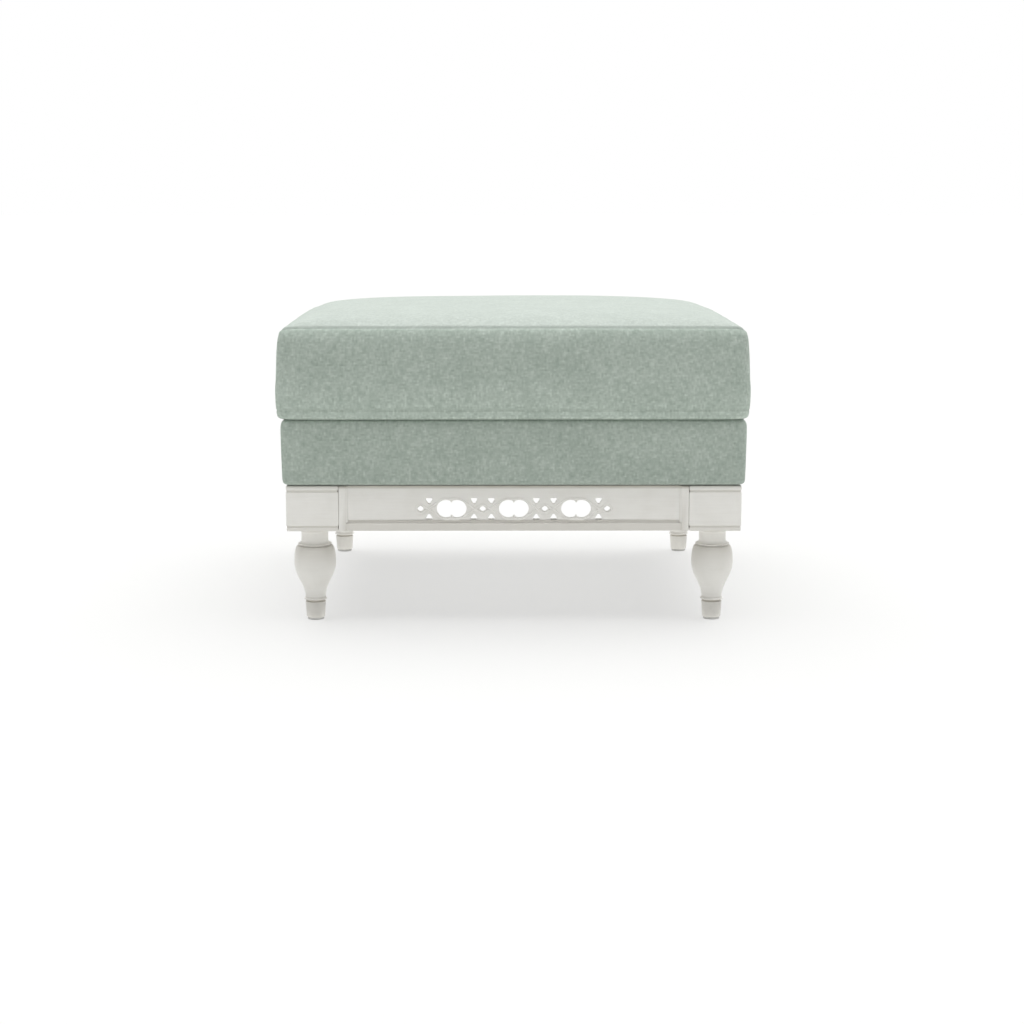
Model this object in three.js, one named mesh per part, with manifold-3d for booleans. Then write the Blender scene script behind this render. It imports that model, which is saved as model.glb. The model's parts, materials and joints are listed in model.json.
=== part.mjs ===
// A square footstool in the classic manner: a loose box cushion on an upholstered seat box,
// carried by a lacquered plinth with pierced aprons, grooved corner posts and turned legs.
// Millimetres, +Z up. The front faces -Y, and the origin is on the floor under the centre.
import * as THREE from "three";
import { mergeVertices, toCreasedNormals } from "three/addons/utils/BufferGeometryUtils.js";
import Module from "manifold-3d";

const wasm = await Module();
wasm.setup();

// Fits shared by every piece
const fitGap = 0.3; // between pieces that rest on, or are glued to, each other
const cutOverrun = 4; // how far a cutting solid runs past the wall it cuts

// Plan sizes: each storey steps in under the one above
const seatWidth = 700; // cushion, left to right
const seatDepth = 700; // cushion, front to back
const cushionOverhang = 5; // cushion past the seat box, on each side
const baseOverhang = 6; // seat box past the plinth, on each side

// Plinth: corner posts and apron frames
const plinthHeight = 68;
const postSide = 78;
const postChamfer = 1.2;
const postGrooveInset = 7.2; // from a post's foot and top to the middle of each groove round it
const postGrooveWidth = 3.4;
const postGrooveDepth = 1.6;
const apronThickness = 22;
const apronSetback = 1; // apron face behind the post face
const stileWidth = 11;
const bandHeight = 11.5; // raked moulding along the foot of the apron
const bandRake = 3.2; // how far the moulding's foot leans back
const quirkHeight = 4.5; // shadow line between the moulding and the panel
const quirkDepth = 5;
const tenonLength = 16;
const tenonThickness = 10;
const tenonShoulder = 11; // apron above and below the tenon

// Pierced panel in each apron
const panelRecess = 3; // panel face behind the apron face
const panelThickness = 9;
const fretCount = 3; // twin-lobed openings in a row
const fretPitch = 92.8;
const fretCentreHeight = 33; // above the foot of the plinth
const lobeRadius = 13.6;
const lobeOffset = 9.1; // each lobe's centre from the middle of its opening
const petalRadius = 3.8; // three-cornered holes above and below the row
const petalSpread = 33.5; // from the middle of an opening, along the apron
const petalRise = 12.8; // from the middle of an opening, up and down
const eyeRadius = 4.1; // four-cornered holes between the openings

// Turned leg, radii and heights above its own foot
const legHeight = 136.4;
const footRadius = 13.8;
const footTopRadius = 15;
const footHeight = 24.4;
const footChamfer = 1;
const creaseRadius = 13.7;
const creaseHeight = 2.6;
const beadRadius = 17.2;
const beadHeight = 2.6;
const ankleRadius = 15.3;
const ankleHeight = 30.4;
const ankleEase = 21; // length over which the vase leaves the ankle
const bellyRadius = 31.4;
const bellyHeight = 84;
const shoulderEase = 10; // length over which the vase leaves its belly upwards
const vaseRadius = 26.2; // rim of the vase
const vaseHeight = 109.6;
const vaseSoftness = 4; // roundness of the rim
const grooveRadius = 21.8;
const grooveHeight = 2.4;
const lipRadius = 24.6;
const lipHeight = 1.2;
const neckRadius = 20.2;
const neckHeight = 119.5; // where the cove ends and the straight neck starts
const collarRadius = 21.6;
const collarHeight = 4.4;

// Nail-on glide under each foot
const glideRadius = 12.4;
const glideThickness = 3;
const glideEdge = 0.9; // rounding of the glide's rim
const nailRadius = 1.4;
const nailLength = 14;

// Bolt through leg, post and corner block, into a tee nut
const boltRadius = 4;
const boltInLeg = 46;
const boltTip = 3; // tapered end
const boltPastNut = 4;
const teeFlangeRadius = 8;
const teeFlangeThickness = 1.6;
const teeBarrelRadius = 5.4;
const teeBarrelLength = 9;

// Upholstered seat box
const dustClothThickness = 0.8;
const coverThickness = 1.6;
const baseHeight = 98.6;
const baseCornerRadius = 11;
const baseTopRadius = 6;
const baseBottomRadius = 7;
const baseDraft = 1.5; // the box is this much narrower at its foot, on each side
const hemWidth = 26; // cover turned under and tacked to the rails
const edgeFoamThickness = 8;
const railThickness = 20;
const blockSide = 54;
const blockHeight = 42;
const deckFoamThickness = 16;
const insulatorThickness = 1.5;

// Sinuous springs, front to back, and their clips
const springCount = 4;
const springRise = 11; // from the tops of the rails up to the insulator
const springSpacing = 130;
const springLoops = 11;
const springHalfWidth = 23;
const springWireRadius = 1.8;
const springTail = 9; // straight wire past the clip
const clipWidth = 15;
const clipWall = 1.2;
const clipFoot = 9; // flat tongue, nailed to the rail

// Loose cushion
const cushionHeight = 137; // to the top seam
const crownHeight = 17; // rise of the top above its seam
const cushionCornerRadius = 17;
const shoulderRadius = 11; // roll of the boxing up to the top seam
const cushionFootRadius = 5;
const sideLean = 3.5; // the boxing leans in this much at its top
const seamWidth = 2.4;
const seamDepth = 1.1;
const lowerSeamHeight = 8;
const topperDepth = 14; // soft topper reaches this far below the top seam

// Zip in the back of the cushion
const zipInset = 80; // from each side of the cushion to the end of the zip
const zipHeight = 68; // above the foot of the cushion
const zipWindowHeight = 20;
const tapeHeight = 26;
const tapeThickness = 0.8;
const coilWidth = 5;
const coilHeight = 1.3;
const sliderLength = 11;
const sliderHeight = 8.6;
const sliderThickness = 2.6;
const sliderRoof = 1;
const sliderSink = 0.2; // slider's face behind the boxing
const tabLength = 16;
const tabHeight = 4.4;

// How finely round work is divided
const turningSteps = 16;
const vaseSteps = 6;
const coveSteps = 2;
const smallRoundSteps = 8;
const wireSides = 4;
const wireStepsPerLoop = 8;
const lobeSteps = 7;
const clipSteps = 4;
const cornerSteps = 3;
const roundingSteps = 2;
const crownSteps = 6;
const crownEdgeSteps = 5;

// Places that follow from the sizes above
const baseWidth = seatWidth - 2 * cushionOverhang;
const baseDepth = seatDepth - 2 * cushionOverhang;
const plinthWidth = baseWidth - 2 * baseOverhang;
const plinthDepth = baseDepth - 2 * baseOverhang;
const legBottom = glideThickness + fitGap;
const plinthBottom = legBottom + legHeight + fitGap;
const plinthTop = plinthBottom + plinthHeight;
const dustClothBottom = plinthTop + fitGap;
const baseBottom = dustClothBottom + dustClothThickness + fitGap;
const baseTop = baseBottom + baseHeight;
const deckFoamBottom = baseTop - coverThickness - fitGap - deckFoamThickness;
const insulatorBottom = deckFoamBottom - fitGap - insulatorThickness;
const railBottom = baseBottom + coverThickness + fitGap;
const railTop = insulatorBottom - springRise;
const railHeight = railTop - railBottom;
const cushionBottom = baseTop + fitGap;
const zipLength = seatWidth - 2 * zipInset;
const boltX = plinthWidth / 2 - postSide / 2;
const boltY = plinthDepth / 2 - postSide / 2;
const padInset = coverThickness + fitGap;
const boxInset = baseDraft + padInset + edgeFoamThickness + fitGap; // to the rails' outer faces
const boxWidth = baseWidth - 2 * boxInset;
const boxDepth = baseDepth - 2 * boxInset;
const openingWidth = plinthWidth - 2 * postSide;
const openingDepth = plinthDepth - 2 * postSide;

// Finishes
const lacquer = finish(0xdfddd6, 0.38);
const weave = finish(0x9cada1, 0.95);
const lining = finish(0xc9ccc6, 0.95);
const foam = finish(0xe9e2c8, 1);
const wadding = finish(0xf1f1ec, 1);
const rawWood = finish(0xc9a878, 0.7);
const steel = finish(0x8c9094, 0.4, 0.9);
const nylon = finish(0xd8d8d4, 0.5);

function finish(color, roughness, metalness = 0) {
  return new THREE.MeshStandardMaterial({ color, roughness, metalness });
}

// A geometry as a manifold solid: only its positions count, with shared corners merged.
function toSolid(geometry) {
  const bare = new THREE.BufferGeometry();
  bare.setAttribute("position", geometry.getAttribute("position"));
  bare.setIndex(geometry.index);
  const merged = mergeVertices(bare, 1e-4);
  return new wasm.Manifold(
    new wasm.Mesh({
      numProp: 3,
      vertProperties: new Float32Array(merged.attributes.position.array),
      triVerts: new Uint32Array(merged.index.array),
    }),
  );
}

function toGeometry(solid) {
  const mesh = solid.getMesh();
  const geometry = new THREE.BufferGeometry();
  geometry.setAttribute("position", new THREE.BufferAttribute(mesh.vertProperties, 3));
  geometry.setIndex(new THREE.BufferAttribute(mesh.triVerts, 1));
  return geometry;
}

function cut(body, ...tools) {
  return tools.reduce((left, tool) => left.subtract(tool), body);
}

// A box solid between two corners.
function block(x0, x1, y0, y1, z0, z1) {
  const box = new THREE.BoxGeometry(x1 - x0, y1 - y0, z1 - z0);
  box.translate((x0 + x1) / 2, (y0 + y1) / 2, (z0 + z1) / 2);
  return toSolid(box);
}

// An upright cylinder solid.
function rod(x, y, radius, z0, z1) {
  const cylinder = new THREE.CylinderGeometry(radius, radius, z1 - z0, smallRoundSteps);
  cylinder.rotateX(Math.PI / 2);
  cylinder.translate(x, y, (z0 + z1) / 2);
  return toSolid(cylinder);
}

// A turned form: the profile holds [radius, height] pairs going up its outside.
function turned(profile, steps) {
  const points = profile.map(([radius, height]) => new THREE.Vector2(radius, height));
  return new THREE.LatheGeometry(points, steps).rotateX(Math.PI / 2);
}

// An outline of [x, y] pairs pushed up by a height.
function extruded(outline, height) {
  const shape = new THREE.Shape(outline.map(([x, y]) => new THREE.Vector2(x, y)));
  return new THREE.ExtrudeGeometry(shape, { depth: height, bevelEnabled: false });
}

// A rectangle with round corners as a ring of points, each straight edge in a number of steps.
function roundedRing(halfX, halfY, radius, height, edgeSteps) {
  const ring = [];
  const corners = [[1, 1], [-1, 1], [-1, -1], [1, -1]];
  corners.forEach(([sideX, sideY], quarter) => {
    const centre = [sideX * (halfX - radius), sideY * (halfY - radius)];
    for (let step = 0; step <= cornerSteps; step++) {
      const angle = (quarter + step / cornerSteps) * (Math.PI / 2);
      ring.push([centre[0] + radius * Math.cos(angle), centre[1] + radius * Math.sin(angle), height]);
    }
    const next = corners[(quarter + 1) % corners.length];
    const end = (quarter + 1) * (Math.PI / 2);
    const from = ring[ring.length - 1];
    const to = [
      next[0] * (halfX - radius) + radius * Math.cos(end),
      next[1] * (halfY - radius) + radius * Math.sin(end),
    ];
    for (let step = 1; step < edgeSteps; step++) {
      const share = step / edgeSteps;
      ring.push([from[0] + (to[0] - from[0]) * share, from[1] + (to[1] - from[1]) * share, height]);
    }
  });
  return ring;
}

// Skins a stack of rings, lowest first, and closes both ends on a middle point.
function lofted(rings, topCentre) {
  const count = rings[0].length;
  const points = rings.flat();
  const faces = [];
  for (let level = 0; level < rings.length - 1; level++) {
    for (let i = 0; i < count; i++) {
      const a = level * count + i;
      const b = level * count + ((i + 1) % count);
      faces.push(a, b, b + count, a, b + count, a + count);
    }
  }
  const bottom = points.push([0, 0, rings[0][0][2]]) - 1;
  const top = points.push([0, 0, topCentre]) - 1;
  const last = (rings.length - 1) * count;
  for (let i = 0; i < count; i++) {
    const next = (i + 1) % count;
    faces.push(bottom, next, i, top, last + i, last + next);
  }
  const geometry = new THREE.BufferGeometry();
  geometry.setAttribute("position", new THREE.Float32BufferAttribute(points.flat(), 3));
  geometry.setIndex(faces);
  return geometry;
}

// A quarter round as [inset, height] pairs, from one tangent to the other.
function quarterRound(radius, inset, height, turnsIn) {
  const pairs = [];
  for (let step = 0; step <= roundingSteps; step++) {
    const angle = (step / roundingSteps) * (Math.PI / 2);
    const across = radius * (1 - Math.cos(angle));
    const along = radius * Math.sin(angle);
    pairs.push(turnsIn ? [inset + across, height + along] : [inset + radius - along, height + across]);
  }
  return pairs;
}

// Turned leg

function legProfile() {
  const lower = new THREE.CubicBezierCurve(
    new THREE.Vector2(ankleRadius, ankleHeight),
    new THREE.Vector2(ankleRadius, ankleHeight + ankleEase),
    new THREE.Vector2(bellyRadius, bellyHeight - ankleEase),
    new THREE.Vector2(bellyRadius, bellyHeight),
  );
  const upper = new THREE.CubicBezierCurve(
    new THREE.Vector2(bellyRadius, bellyHeight),
    new THREE.Vector2(bellyRadius, bellyHeight + shoulderEase),
    new THREE.Vector2(vaseRadius + vaseSoftness, vaseHeight - vaseSoftness),
    new THREE.Vector2(vaseRadius, vaseHeight),
  );
  const creaseTop = footHeight + creaseHeight;
  const grooveTop = vaseHeight + grooveHeight;
  const lipTop = grooveTop + lipHeight;
  const cove = new THREE.QuadraticBezierCurve(
    new THREE.Vector2(lipRadius, lipTop),
    new THREE.Vector2(neckRadius, lipTop),
    new THREE.Vector2(neckRadius, neckHeight),
  );
  const pairs = (curve, steps) => curve.getPoints(steps).map((point) => [point.x, point.y]);
  const boreRadius = boltRadius + fitGap;
  const boreBottom = legHeight - boltInLeg - fitGap;
  const pilotRadius = nailRadius + fitGap;
  const pilotTop = nailLength + fitGap;
  return [
    [0, pilotTop],
    [pilotRadius, pilotTop],
    [pilotRadius, 0],
    [footRadius - footChamfer, 0],
    [footRadius, footChamfer],
    [footTopRadius, footHeight],
    [creaseRadius, footHeight],
    [creaseRadius, creaseTop],
    [beadRadius, creaseTop + beadHeight / 4],
    [beadRadius, creaseTop + (3 * beadHeight) / 4],
    [ankleRadius, creaseTop + beadHeight],
    ...pairs(lower, vaseSteps),
    ...pairs(upper, vaseSteps / 2).slice(1),
    [grooveRadius, vaseHeight],
    [grooveRadius, grooveTop],
    [lipRadius, grooveTop],
    ...pairs(cove, coveSteps),
    [neckRadius, legHeight - collarHeight - (collarRadius - neckRadius)],
    [collarRadius, legHeight - collarHeight],
    [collarRadius, legHeight],
    [boreRadius, legHeight],
    [boreRadius, boreBottom],
    [0, boreBottom],
  ];
}

function glideProfile() {
  return [
    [0, 0],
    [glideRadius - glideEdge, 0],
    [glideRadius, glideEdge],
    [glideRadius, glideThickness],
    [nailRadius, glideThickness],
    [nailRadius, legBottom + nailLength - nailRadius],
    [0, legBottom + nailLength],
  ];
}

// Bolt and tee nut, on the leg's axis

const boltBottom = legBottom + legHeight - boltInLeg;
const blockTop = railBottom + blockHeight;
const boltTop = blockTop + fitGap + teeFlangeThickness + boltPastNut;

function boltProfile() {
  return [
    [0, boltBottom],
    [boltRadius / 2, boltBottom],
    [boltRadius, boltBottom + boltTip],
    [boltRadius, boltTop - boltTip / 3],
    [boltRadius - boltTip / 3, boltTop],
    [0, boltTop],
  ];
}

function teeNutProfile() {
  const threadRadius = boltRadius + fitGap;
  const flangeBottom = blockTop + fitGap;
  return [
    [threadRadius, flangeBottom - teeBarrelLength],
    [teeBarrelRadius, flangeBottom - teeBarrelLength],
    [teeBarrelRadius, flangeBottom],
    [teeFlangeRadius, flangeBottom],
    [teeFlangeRadius, flangeBottom + teeFlangeThickness],
    [threadRadius, flangeBottom + teeFlangeThickness],
    [threadRadius, flangeBottom - teeBarrelLength],
  ];
}

// Corner post, standing on its bolt's axis with its outer faces towards -X and -Y

// A square with bevelled corners as a ring of points, that much inside the post's faces.
function postRing(inset, height) {
  const half = postSide / 2 - inset;
  const near = half - postChamfer;
  const plan = [
    [near, -half], [half, -near], [half, near], [near, half],
    [-near, half], [-half, near], [-half, -near], [-near, -half],
  ];
  return plan.map(([x, y]) => [x, y, height]);
}

function postSolid() {
  const half = postSide / 2;
  const rings = [postRing(0, 0)];
  for (const middle of [postGrooveInset, plinthHeight - postGrooveInset]) {
    rings.push(postRing(0, middle - postGrooveWidth / 2));
    rings.push(postRing(postGrooveDepth, middle));
    rings.push(postRing(0, middle + postGrooveWidth / 2));
  }
  rings.push(postRing(0, plinthHeight));
  const body = toSolid(lofted(rings, plinthHeight));
  const bore = rod(0, 0, boltRadius + fitGap, -cutOverrun, plinthHeight + cutOverrun);
  const tenonOut = -half + apronSetback + (apronThickness - tenonThickness) / 2 - fitGap;
  const mortise = [tenonOut, tenonOut + tenonThickness + 2 * fitGap];
  const floor = half - tenonLength - fitGap;
  const rise = [tenonShoulder - fitGap, plinthHeight - tenonShoulder + fitGap];
  return cut(
    body,
    bore,
    block(floor, half + cutOverrun, ...mortise, ...rise),
    block(...mortise, floor, half + cutOverrun, ...rise),
  );
}

// Apron frame: two stiles, a moulded foot rail and a tenon at each end. It runs along X with
// its face towards -Y at zero, and its foot at zero.

function apronFrame(length) {
  const railTopHeight = bandHeight + quirkHeight;
  const section = [
    [bandRake, 0],
    [apronThickness, 0],
    [apronThickness, railTopHeight],
    [quirkDepth, railTopHeight],
    [quirkDepth, bandHeight],
    [0, bandHeight],
  ];
  const half = length / 2 - fitGap;
  const inner = length / 2 - stileWidth;
  const rail = extruded(section, 2 * inner + 2 * fitGap);
  rail.rotateX(Math.PI / 2).rotateZ(Math.PI / 2).translate(-inner - fitGap, 0, 0);
  let frame = toSolid(rail);
  for (const side of [-1, 1]) {
    const span = (a, b) => [Math.min(side * a, side * b), Math.max(side * a, side * b)];
    const tenonFace = (apronThickness - tenonThickness) / 2;
    const stile = block(...span(inner, half), 0, apronThickness, 0, plinthHeight);
    const tenon = block(
      ...span(inner + stileWidth / 2, half + fitGap + tenonLength),
      tenonFace,
      tenonFace + tenonThickness,
      tenonShoulder,
      plinthHeight - tenonShoulder,
    );
    frame = frame.add(stile).add(tenon);
  }
  return toGeometry(frame);
}

// Pierced panel. Its holes are drawn in the plane of the panel, X along it and Y up.

// A hole whose radius swells towards a number of corners.
function corneredHole(x, y, radius, corners, swell, firstCorner, steps) {
  const hole = new THREE.Path();
  for (let step = 0; step < steps; step++) {
    const angle = firstCorner + (step / steps) * 2 * Math.PI;
    const reach = radius * (1 + swell * Math.cos(corners * (angle - firstCorner)));
    const point = [x + reach * Math.cos(angle), y + reach * Math.sin(angle)];
    if (step === 0) hole.moveTo(...point);
    else hole.lineTo(...point);
  }
  hole.closePath();
  return hole;
}

// Two circles run together, with a cusp above and below where they meet.
function twinLobe(x, y) {
  const cusp = Math.acos(lobeOffset / lobeRadius);
  const hole = new THREE.Path();
  hole.absarc(x + lobeOffset, y, lobeRadius, cusp - Math.PI, Math.PI - cusp, false);
  hole.absarc(x - lobeOffset, y, lobeRadius, cusp, 2 * Math.PI - cusp, false);
  return hole;
}

function fretHoles(y) {
  const holes = [];
  const petalCornerCount = 3;
  const eyeCornerCount = 4;
  const petalSwellShare = 0.26;
  const eyeSwellShare = 0.1;
  const first = (-(fretCount - 1) / 2) * fretPitch;
  for (let i = 0; i < fretCount; i++) {
    const x = first + i * fretPitch;
    holes.push(twinLobe(x, y));
    for (const side of [-1, 1]) {
      for (const up of [-1, 1]) {
        holes.push(
          corneredHole(
            x + side * petalSpread, y + up * petalRise, petalRadius,
            petalCornerCount, petalSwellShare, (-up * Math.PI) / 2, 2 * petalCornerCount,
          ),
        );
      }
    }
  }
  for (let i = 0; i <= fretCount; i++) {
    const x = first + (i - 1 / 2) * fretPitch;
    holes.push(corneredHole(x, y, eyeRadius, eyeCornerCount, eyeSwellShare, 0, 2 * eyeCornerCount));
  }
  return holes;
}

function fretPanel(length) {
  const half = length / 2 - stileWidth - fitGap;
  const foot = bandHeight + quirkHeight + fitGap;
  const shape = new THREE.Shape([
    new THREE.Vector2(-half, foot),
    new THREE.Vector2(half, foot),
    new THREE.Vector2(half, plinthHeight),
    new THREE.Vector2(-half, plinthHeight),
  ]);
  shape.holes = fretHoles(fretCentreHeight);
  const panel = new THREE.ExtrudeGeometry(shape, {
    depth: panelThickness,
    bevelEnabled: false,
    curveSegments: lobeSteps,
  });
  return panel.rotateX(Math.PI / 2).translate(0, panelRecess + panelThickness, 0);
}

// Upholstered seat box

// The box's outside, or a skin that much inside it.
function baseForm(wall) {
  const bottomRadius = Math.max(baseBottomRadius - wall, coverThickness / 2);
  const topRadius = Math.max(baseTopRadius - wall, coverThickness / 2);
  const cornerRadius = baseCornerRadius - wall;
  const pairs = [
    ...quarterRound(bottomRadius, baseDraft, wall, false),
    ...quarterRound(topRadius, 0, baseHeight - wall - topRadius, true),
  ];
  const rings = pairs.map(([inset, height]) =>
    roundedRing(
      baseWidth / 2 - wall - inset,
      baseDepth / 2 - wall - inset,
      Math.max(cornerRadius - inset / 2, coverThickness),
      height + baseBottom,
      1,
    ),
  );
  return toSolid(lofted(rings, baseTop - wall));
}

function baseCover() {
  const mouthX = baseWidth / 2 - baseDraft - hemWidth;
  const mouthY = baseDepth / 2 - baseDraft - hemWidth;
  const mouth = block(-mouthX, mouthX, -mouthY, mouthY, baseBottom - cutOverrun, railBottom + cutOverrun);
  return toGeometry(cut(baseForm(0), baseForm(coverThickness), mouth));
}

function edgeFoam() {
  const halfX = boxWidth / 2 + fitGap;
  const halfY = boxDepth / 2 + fitGap;
  const above = deckFoamBottom - fitGap;
  return toGeometry(
    cut(
      baseForm(padInset),
      block(-halfX, halfX, -halfY, halfY, baseBottom - cutOverrun, baseTop + cutOverrun),
      block(-baseWidth, baseWidth, -baseDepth, baseDepth, above, baseTop + cutOverrun),
    ),
  );
}

function deckFoam() {
  const below = block(-baseWidth, baseWidth, -baseDepth, baseDepth, baseBottom - cutOverrun, deckFoamBottom);
  return toGeometry(cut(baseForm(padInset), below));
}

function dustCloth() {
  const halfX = boxWidth / 2;
  const halfY = boxDepth / 2;
  let cloth = block(-halfX, halfX, -halfY, halfY, dustClothBottom, dustClothBottom + dustClothThickness);
  for (const [sideX, sideY] of [[-1, -1], [1, -1], [1, 1], [-1, 1]]) {
    const radius = boltRadius + fitGap;
    cloth = cut(cloth, rod(sideX * boltX, sideY * boltY, radius, plinthTop - cutOverrun, baseTop));
  }
  return toGeometry(cloth);
}

// Corner block for the corner towards -X and -Y: it holds the tee nut over the post.
function cornerBlock() {
  const outX = boxWidth / 2 - railThickness - fitGap;
  const outY = boxDepth / 2 - railThickness - fitGap;
  const body = block(-outX, -outX + blockSide, -outY, -outY + blockSide, railBottom, blockTop);
  const bore = rod(-boltX, -boltY, boltRadius + fitGap, railBottom - cutOverrun, blockTop + cutOverrun);
  const seat = rod(
    -boltX, -boltY, teeBarrelRadius + fitGap,
    blockTop - teeBarrelLength - fitGap, blockTop + cutOverrun,
  );
  return toGeometry(cut(body, bore, seat));
}

// Sinuous spring: the wire crosses the spring square to it and turns back at each edge.

const springRest = railTop + fitGap + clipWall + fitGap + springWireRadius;
const springSpan = boxDepth - railThickness;
const springArch = insulatorBottom - fitGap - springWireRadius - springRest; // up to the insulator

class SinuousPath extends THREE.Curve {
  getPoint(share, target = new THREE.Vector3()) {
    const tailShare = 1 / (8 * springLoops);
    const run = THREE.MathUtils.clamp((share - tailShare) / (1 - 2 * tailShare), 0, 1);
    const turn = run * springLoops * 2 * Math.PI;
    const wave = (turn - Math.sin(2 * turn) / 2) / (springLoops * 2 * Math.PI);
    const tail = share < tailShare ? share / tailShare - 1 : Math.max(share - 1 + tailShare, 0) / tailShare;
    const x = springHalfWidth * Math.sin(turn) + tail * springTail;
    const lift = springArch * Math.sin(Math.PI * wave);
    return target.set(x, (wave - 1 / 2) * springSpan, lift);
  }
}

function sinuousSpring() {
  const corners = Array.from({ length: wireSides }, (_, side) => {
    const angle = (side / wireSides) * 2 * Math.PI;
    return new THREE.Vector2(springWireRadius * Math.cos(angle), springWireRadius * Math.sin(angle));
  });
  return new THREE.ExtrudeGeometry(new THREE.Shape(corners), {
    steps: springLoops * wireStepsPerLoop + 2,
    extrudePath: new SinuousPath(),
    bevelEnabled: false,
  });
}

// Clip over the last crossing of a spring: a tongue on the rail, rolled over the wire.
// Its section is drawn with X towards the middle of the seat and Y up from the rail.
function springClip() {
  const hold = springWireRadius + fitGap;
  const outer = hold + clipWall;
  const centre = clipWall + hold;
  const section = new THREE.Shape();
  section.moveTo(clipFoot, 0);
  section.lineTo(clipFoot, clipWall);
  section.lineTo(0, clipWall);
  section.absarc(0, centre, hold, -Math.PI / 2, Math.PI / 4, true);
  section.absarc(0, centre, outer, Math.PI / 4, -Math.PI / 2, false);
  return new THREE.ExtrudeGeometry(section, { depth: clipWidth, curveSegments: clipSteps, bevelEnabled: false })
    .translate(0, 0, -clipWidth / 2)
    .rotateX(Math.PI / 2)
    .rotateZ(Math.PI / 2);
}

// Loose cushion

// Height of the crowned top above the seam, over any point of the plan.
function crownAt(x, y) {
  const fall = (place, half) => {
    const square = Math.min(Math.abs(place) / half, 1) ** 2;
    return 1 - square * square;
  };
  const seamInset = sideLean + shoulderRadius + seamWidth;
  return crownHeight * fall(x, seatWidth / 2 - seamInset) * fall(y, seatDepth / 2 - seamInset);
}

// Insets and heights of the boxing from the foot up, with a sewn line near the foot.
function boxingPairs(wall, sewn) {
  const foot = Math.max(cushionFootRadius - wall, coverThickness / 2);
  const roll = Math.max(shoulderRadius - wall, coverThickness / 2);
  const top = cushionHeight - wall;
  const middle = cushionHeight / 2;
  const lower = [
    [0, lowerSeamHeight - seamWidth / 2],
    [seamDepth, lowerSeamHeight],
    [0, lowerSeamHeight + seamWidth / 2],
  ];
  const upper = [
    [sideLean + roll, top],
    [sideLean + roll + seamWidth / 2, top - seamDepth],
    [sideLean + roll + seamWidth, top],
  ];
  return [
    ...quarterRound(foot, 0, wall, false),
    ...(sewn ? lower : []),
    [sideLean / 4, middle],
    ...quarterRound(roll, sideLean, top - roll, true),
    ...(sewn ? upper.slice(1) : []),
  ];
}

// The cushion's outside, or a skin that much inside it.
function cushionForm(wall, sewn) {
  const rings = boxingPairs(wall, sewn).map(([inset, height]) =>
    roundedRing(
      seatWidth / 2 - wall - inset,
      seatDepth / 2 - wall - inset,
      Math.max(cushionCornerRadius - wall - inset / 2, coverThickness),
      height + cushionBottom,
      crownEdgeSteps,
    ),
  );
  const rim = sideLean + Math.max(shoulderRadius, wall + coverThickness / 2) + (sewn ? seamWidth : 0);
  const cornerShare = 0.25;
  for (let step = 1; step < crownSteps; step++) {
    const share = Math.cos((step / crownSteps) * (Math.PI / 2));
    const halfX = (seatWidth / 2 - rim) * share;
    const halfY = (seatDepth / 2 - rim) * share;
    const ring = roundedRing(halfX, halfY, Math.min(halfX, halfY) * cornerShare, 0, crownEdgeSteps);
    for (const point of ring) point[2] = cushionBottom + cushionHeight - wall + crownAt(point[0], point[1]);
    rings.push(ring);
  }
  return toSolid(lofted(rings, cushionBottom + cushionHeight - wall + crownHeight));
}

const zipCentre = cushionBottom + zipHeight;
const cushionBack = seatDepth / 2;
const boxingBack = cushionBack - (sideLean / 4) * (zipHeight / (cushionHeight / 2));
const sliderFace = boxingBack - sliderSink;
const tapeFace = sliderFace - sliderThickness - fitGap;
const tapeBack = tapeFace - tapeThickness;

function cushionCover() {
  const half = zipLength / 2;
  const window = block(
    -half, half,
    tapeBack - cutOverrun, cushionBack + cutOverrun,
    zipCentre - zipWindowHeight / 2, zipCentre + zipWindowHeight / 2,
  );
  return toGeometry(cut(cushionForm(0, true), cushionForm(coverThickness, false), window));
}

// The space a zip's tape needs in the back of the filling.
function zipRelief() {
  const half = zipLength / 2 + tapeHeight / 2;
  return block(
    -half, half,
    tapeBack - fitGap, cushionBack + cutOverrun,
    zipCentre - tapeHeight / 2 - fitGap, zipCentre + tapeHeight / 2 + fitGap,
  );
}

const coreTop = cushionBottom + cushionHeight - topperDepth;

function foamCore() {
  const above = block(-seatWidth, seatWidth, -seatDepth, seatDepth, coreTop, coreTop + seatWidth);
  return toGeometry(cut(cushionForm(padInset, false), above, zipRelief()));
}

function crownTopper() {
  const below = block(-seatWidth, seatWidth, -seatDepth, seatDepth, cushionBottom - cutOverrun, coreTop + fitGap);
  return toGeometry(cut(cushionForm(padInset, false), below));
}

// Zip: woven tape with a low coil along its middle, in the window of the boxing.
function zipChain() {
  const half = tapeHeight / 2;
  const section = [
    [tapeBack, -half],
    [tapeFace, -half],
    [tapeFace, -coilWidth / 2],
    [tapeFace + coilHeight, -coilWidth / 4],
    [tapeFace + coilHeight, coilWidth / 4],
    [tapeFace, coilWidth / 2],
    [tapeFace, half],
    [tapeBack, half],
  ];
  const length = zipLength + tapeHeight - 2 * fitGap;
  return extruded(section, length)
    .rotateX(Math.PI / 2)
    .rotateZ(Math.PI / 2)
    .translate(-length / 2, 0, zipCentre);
}

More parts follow.
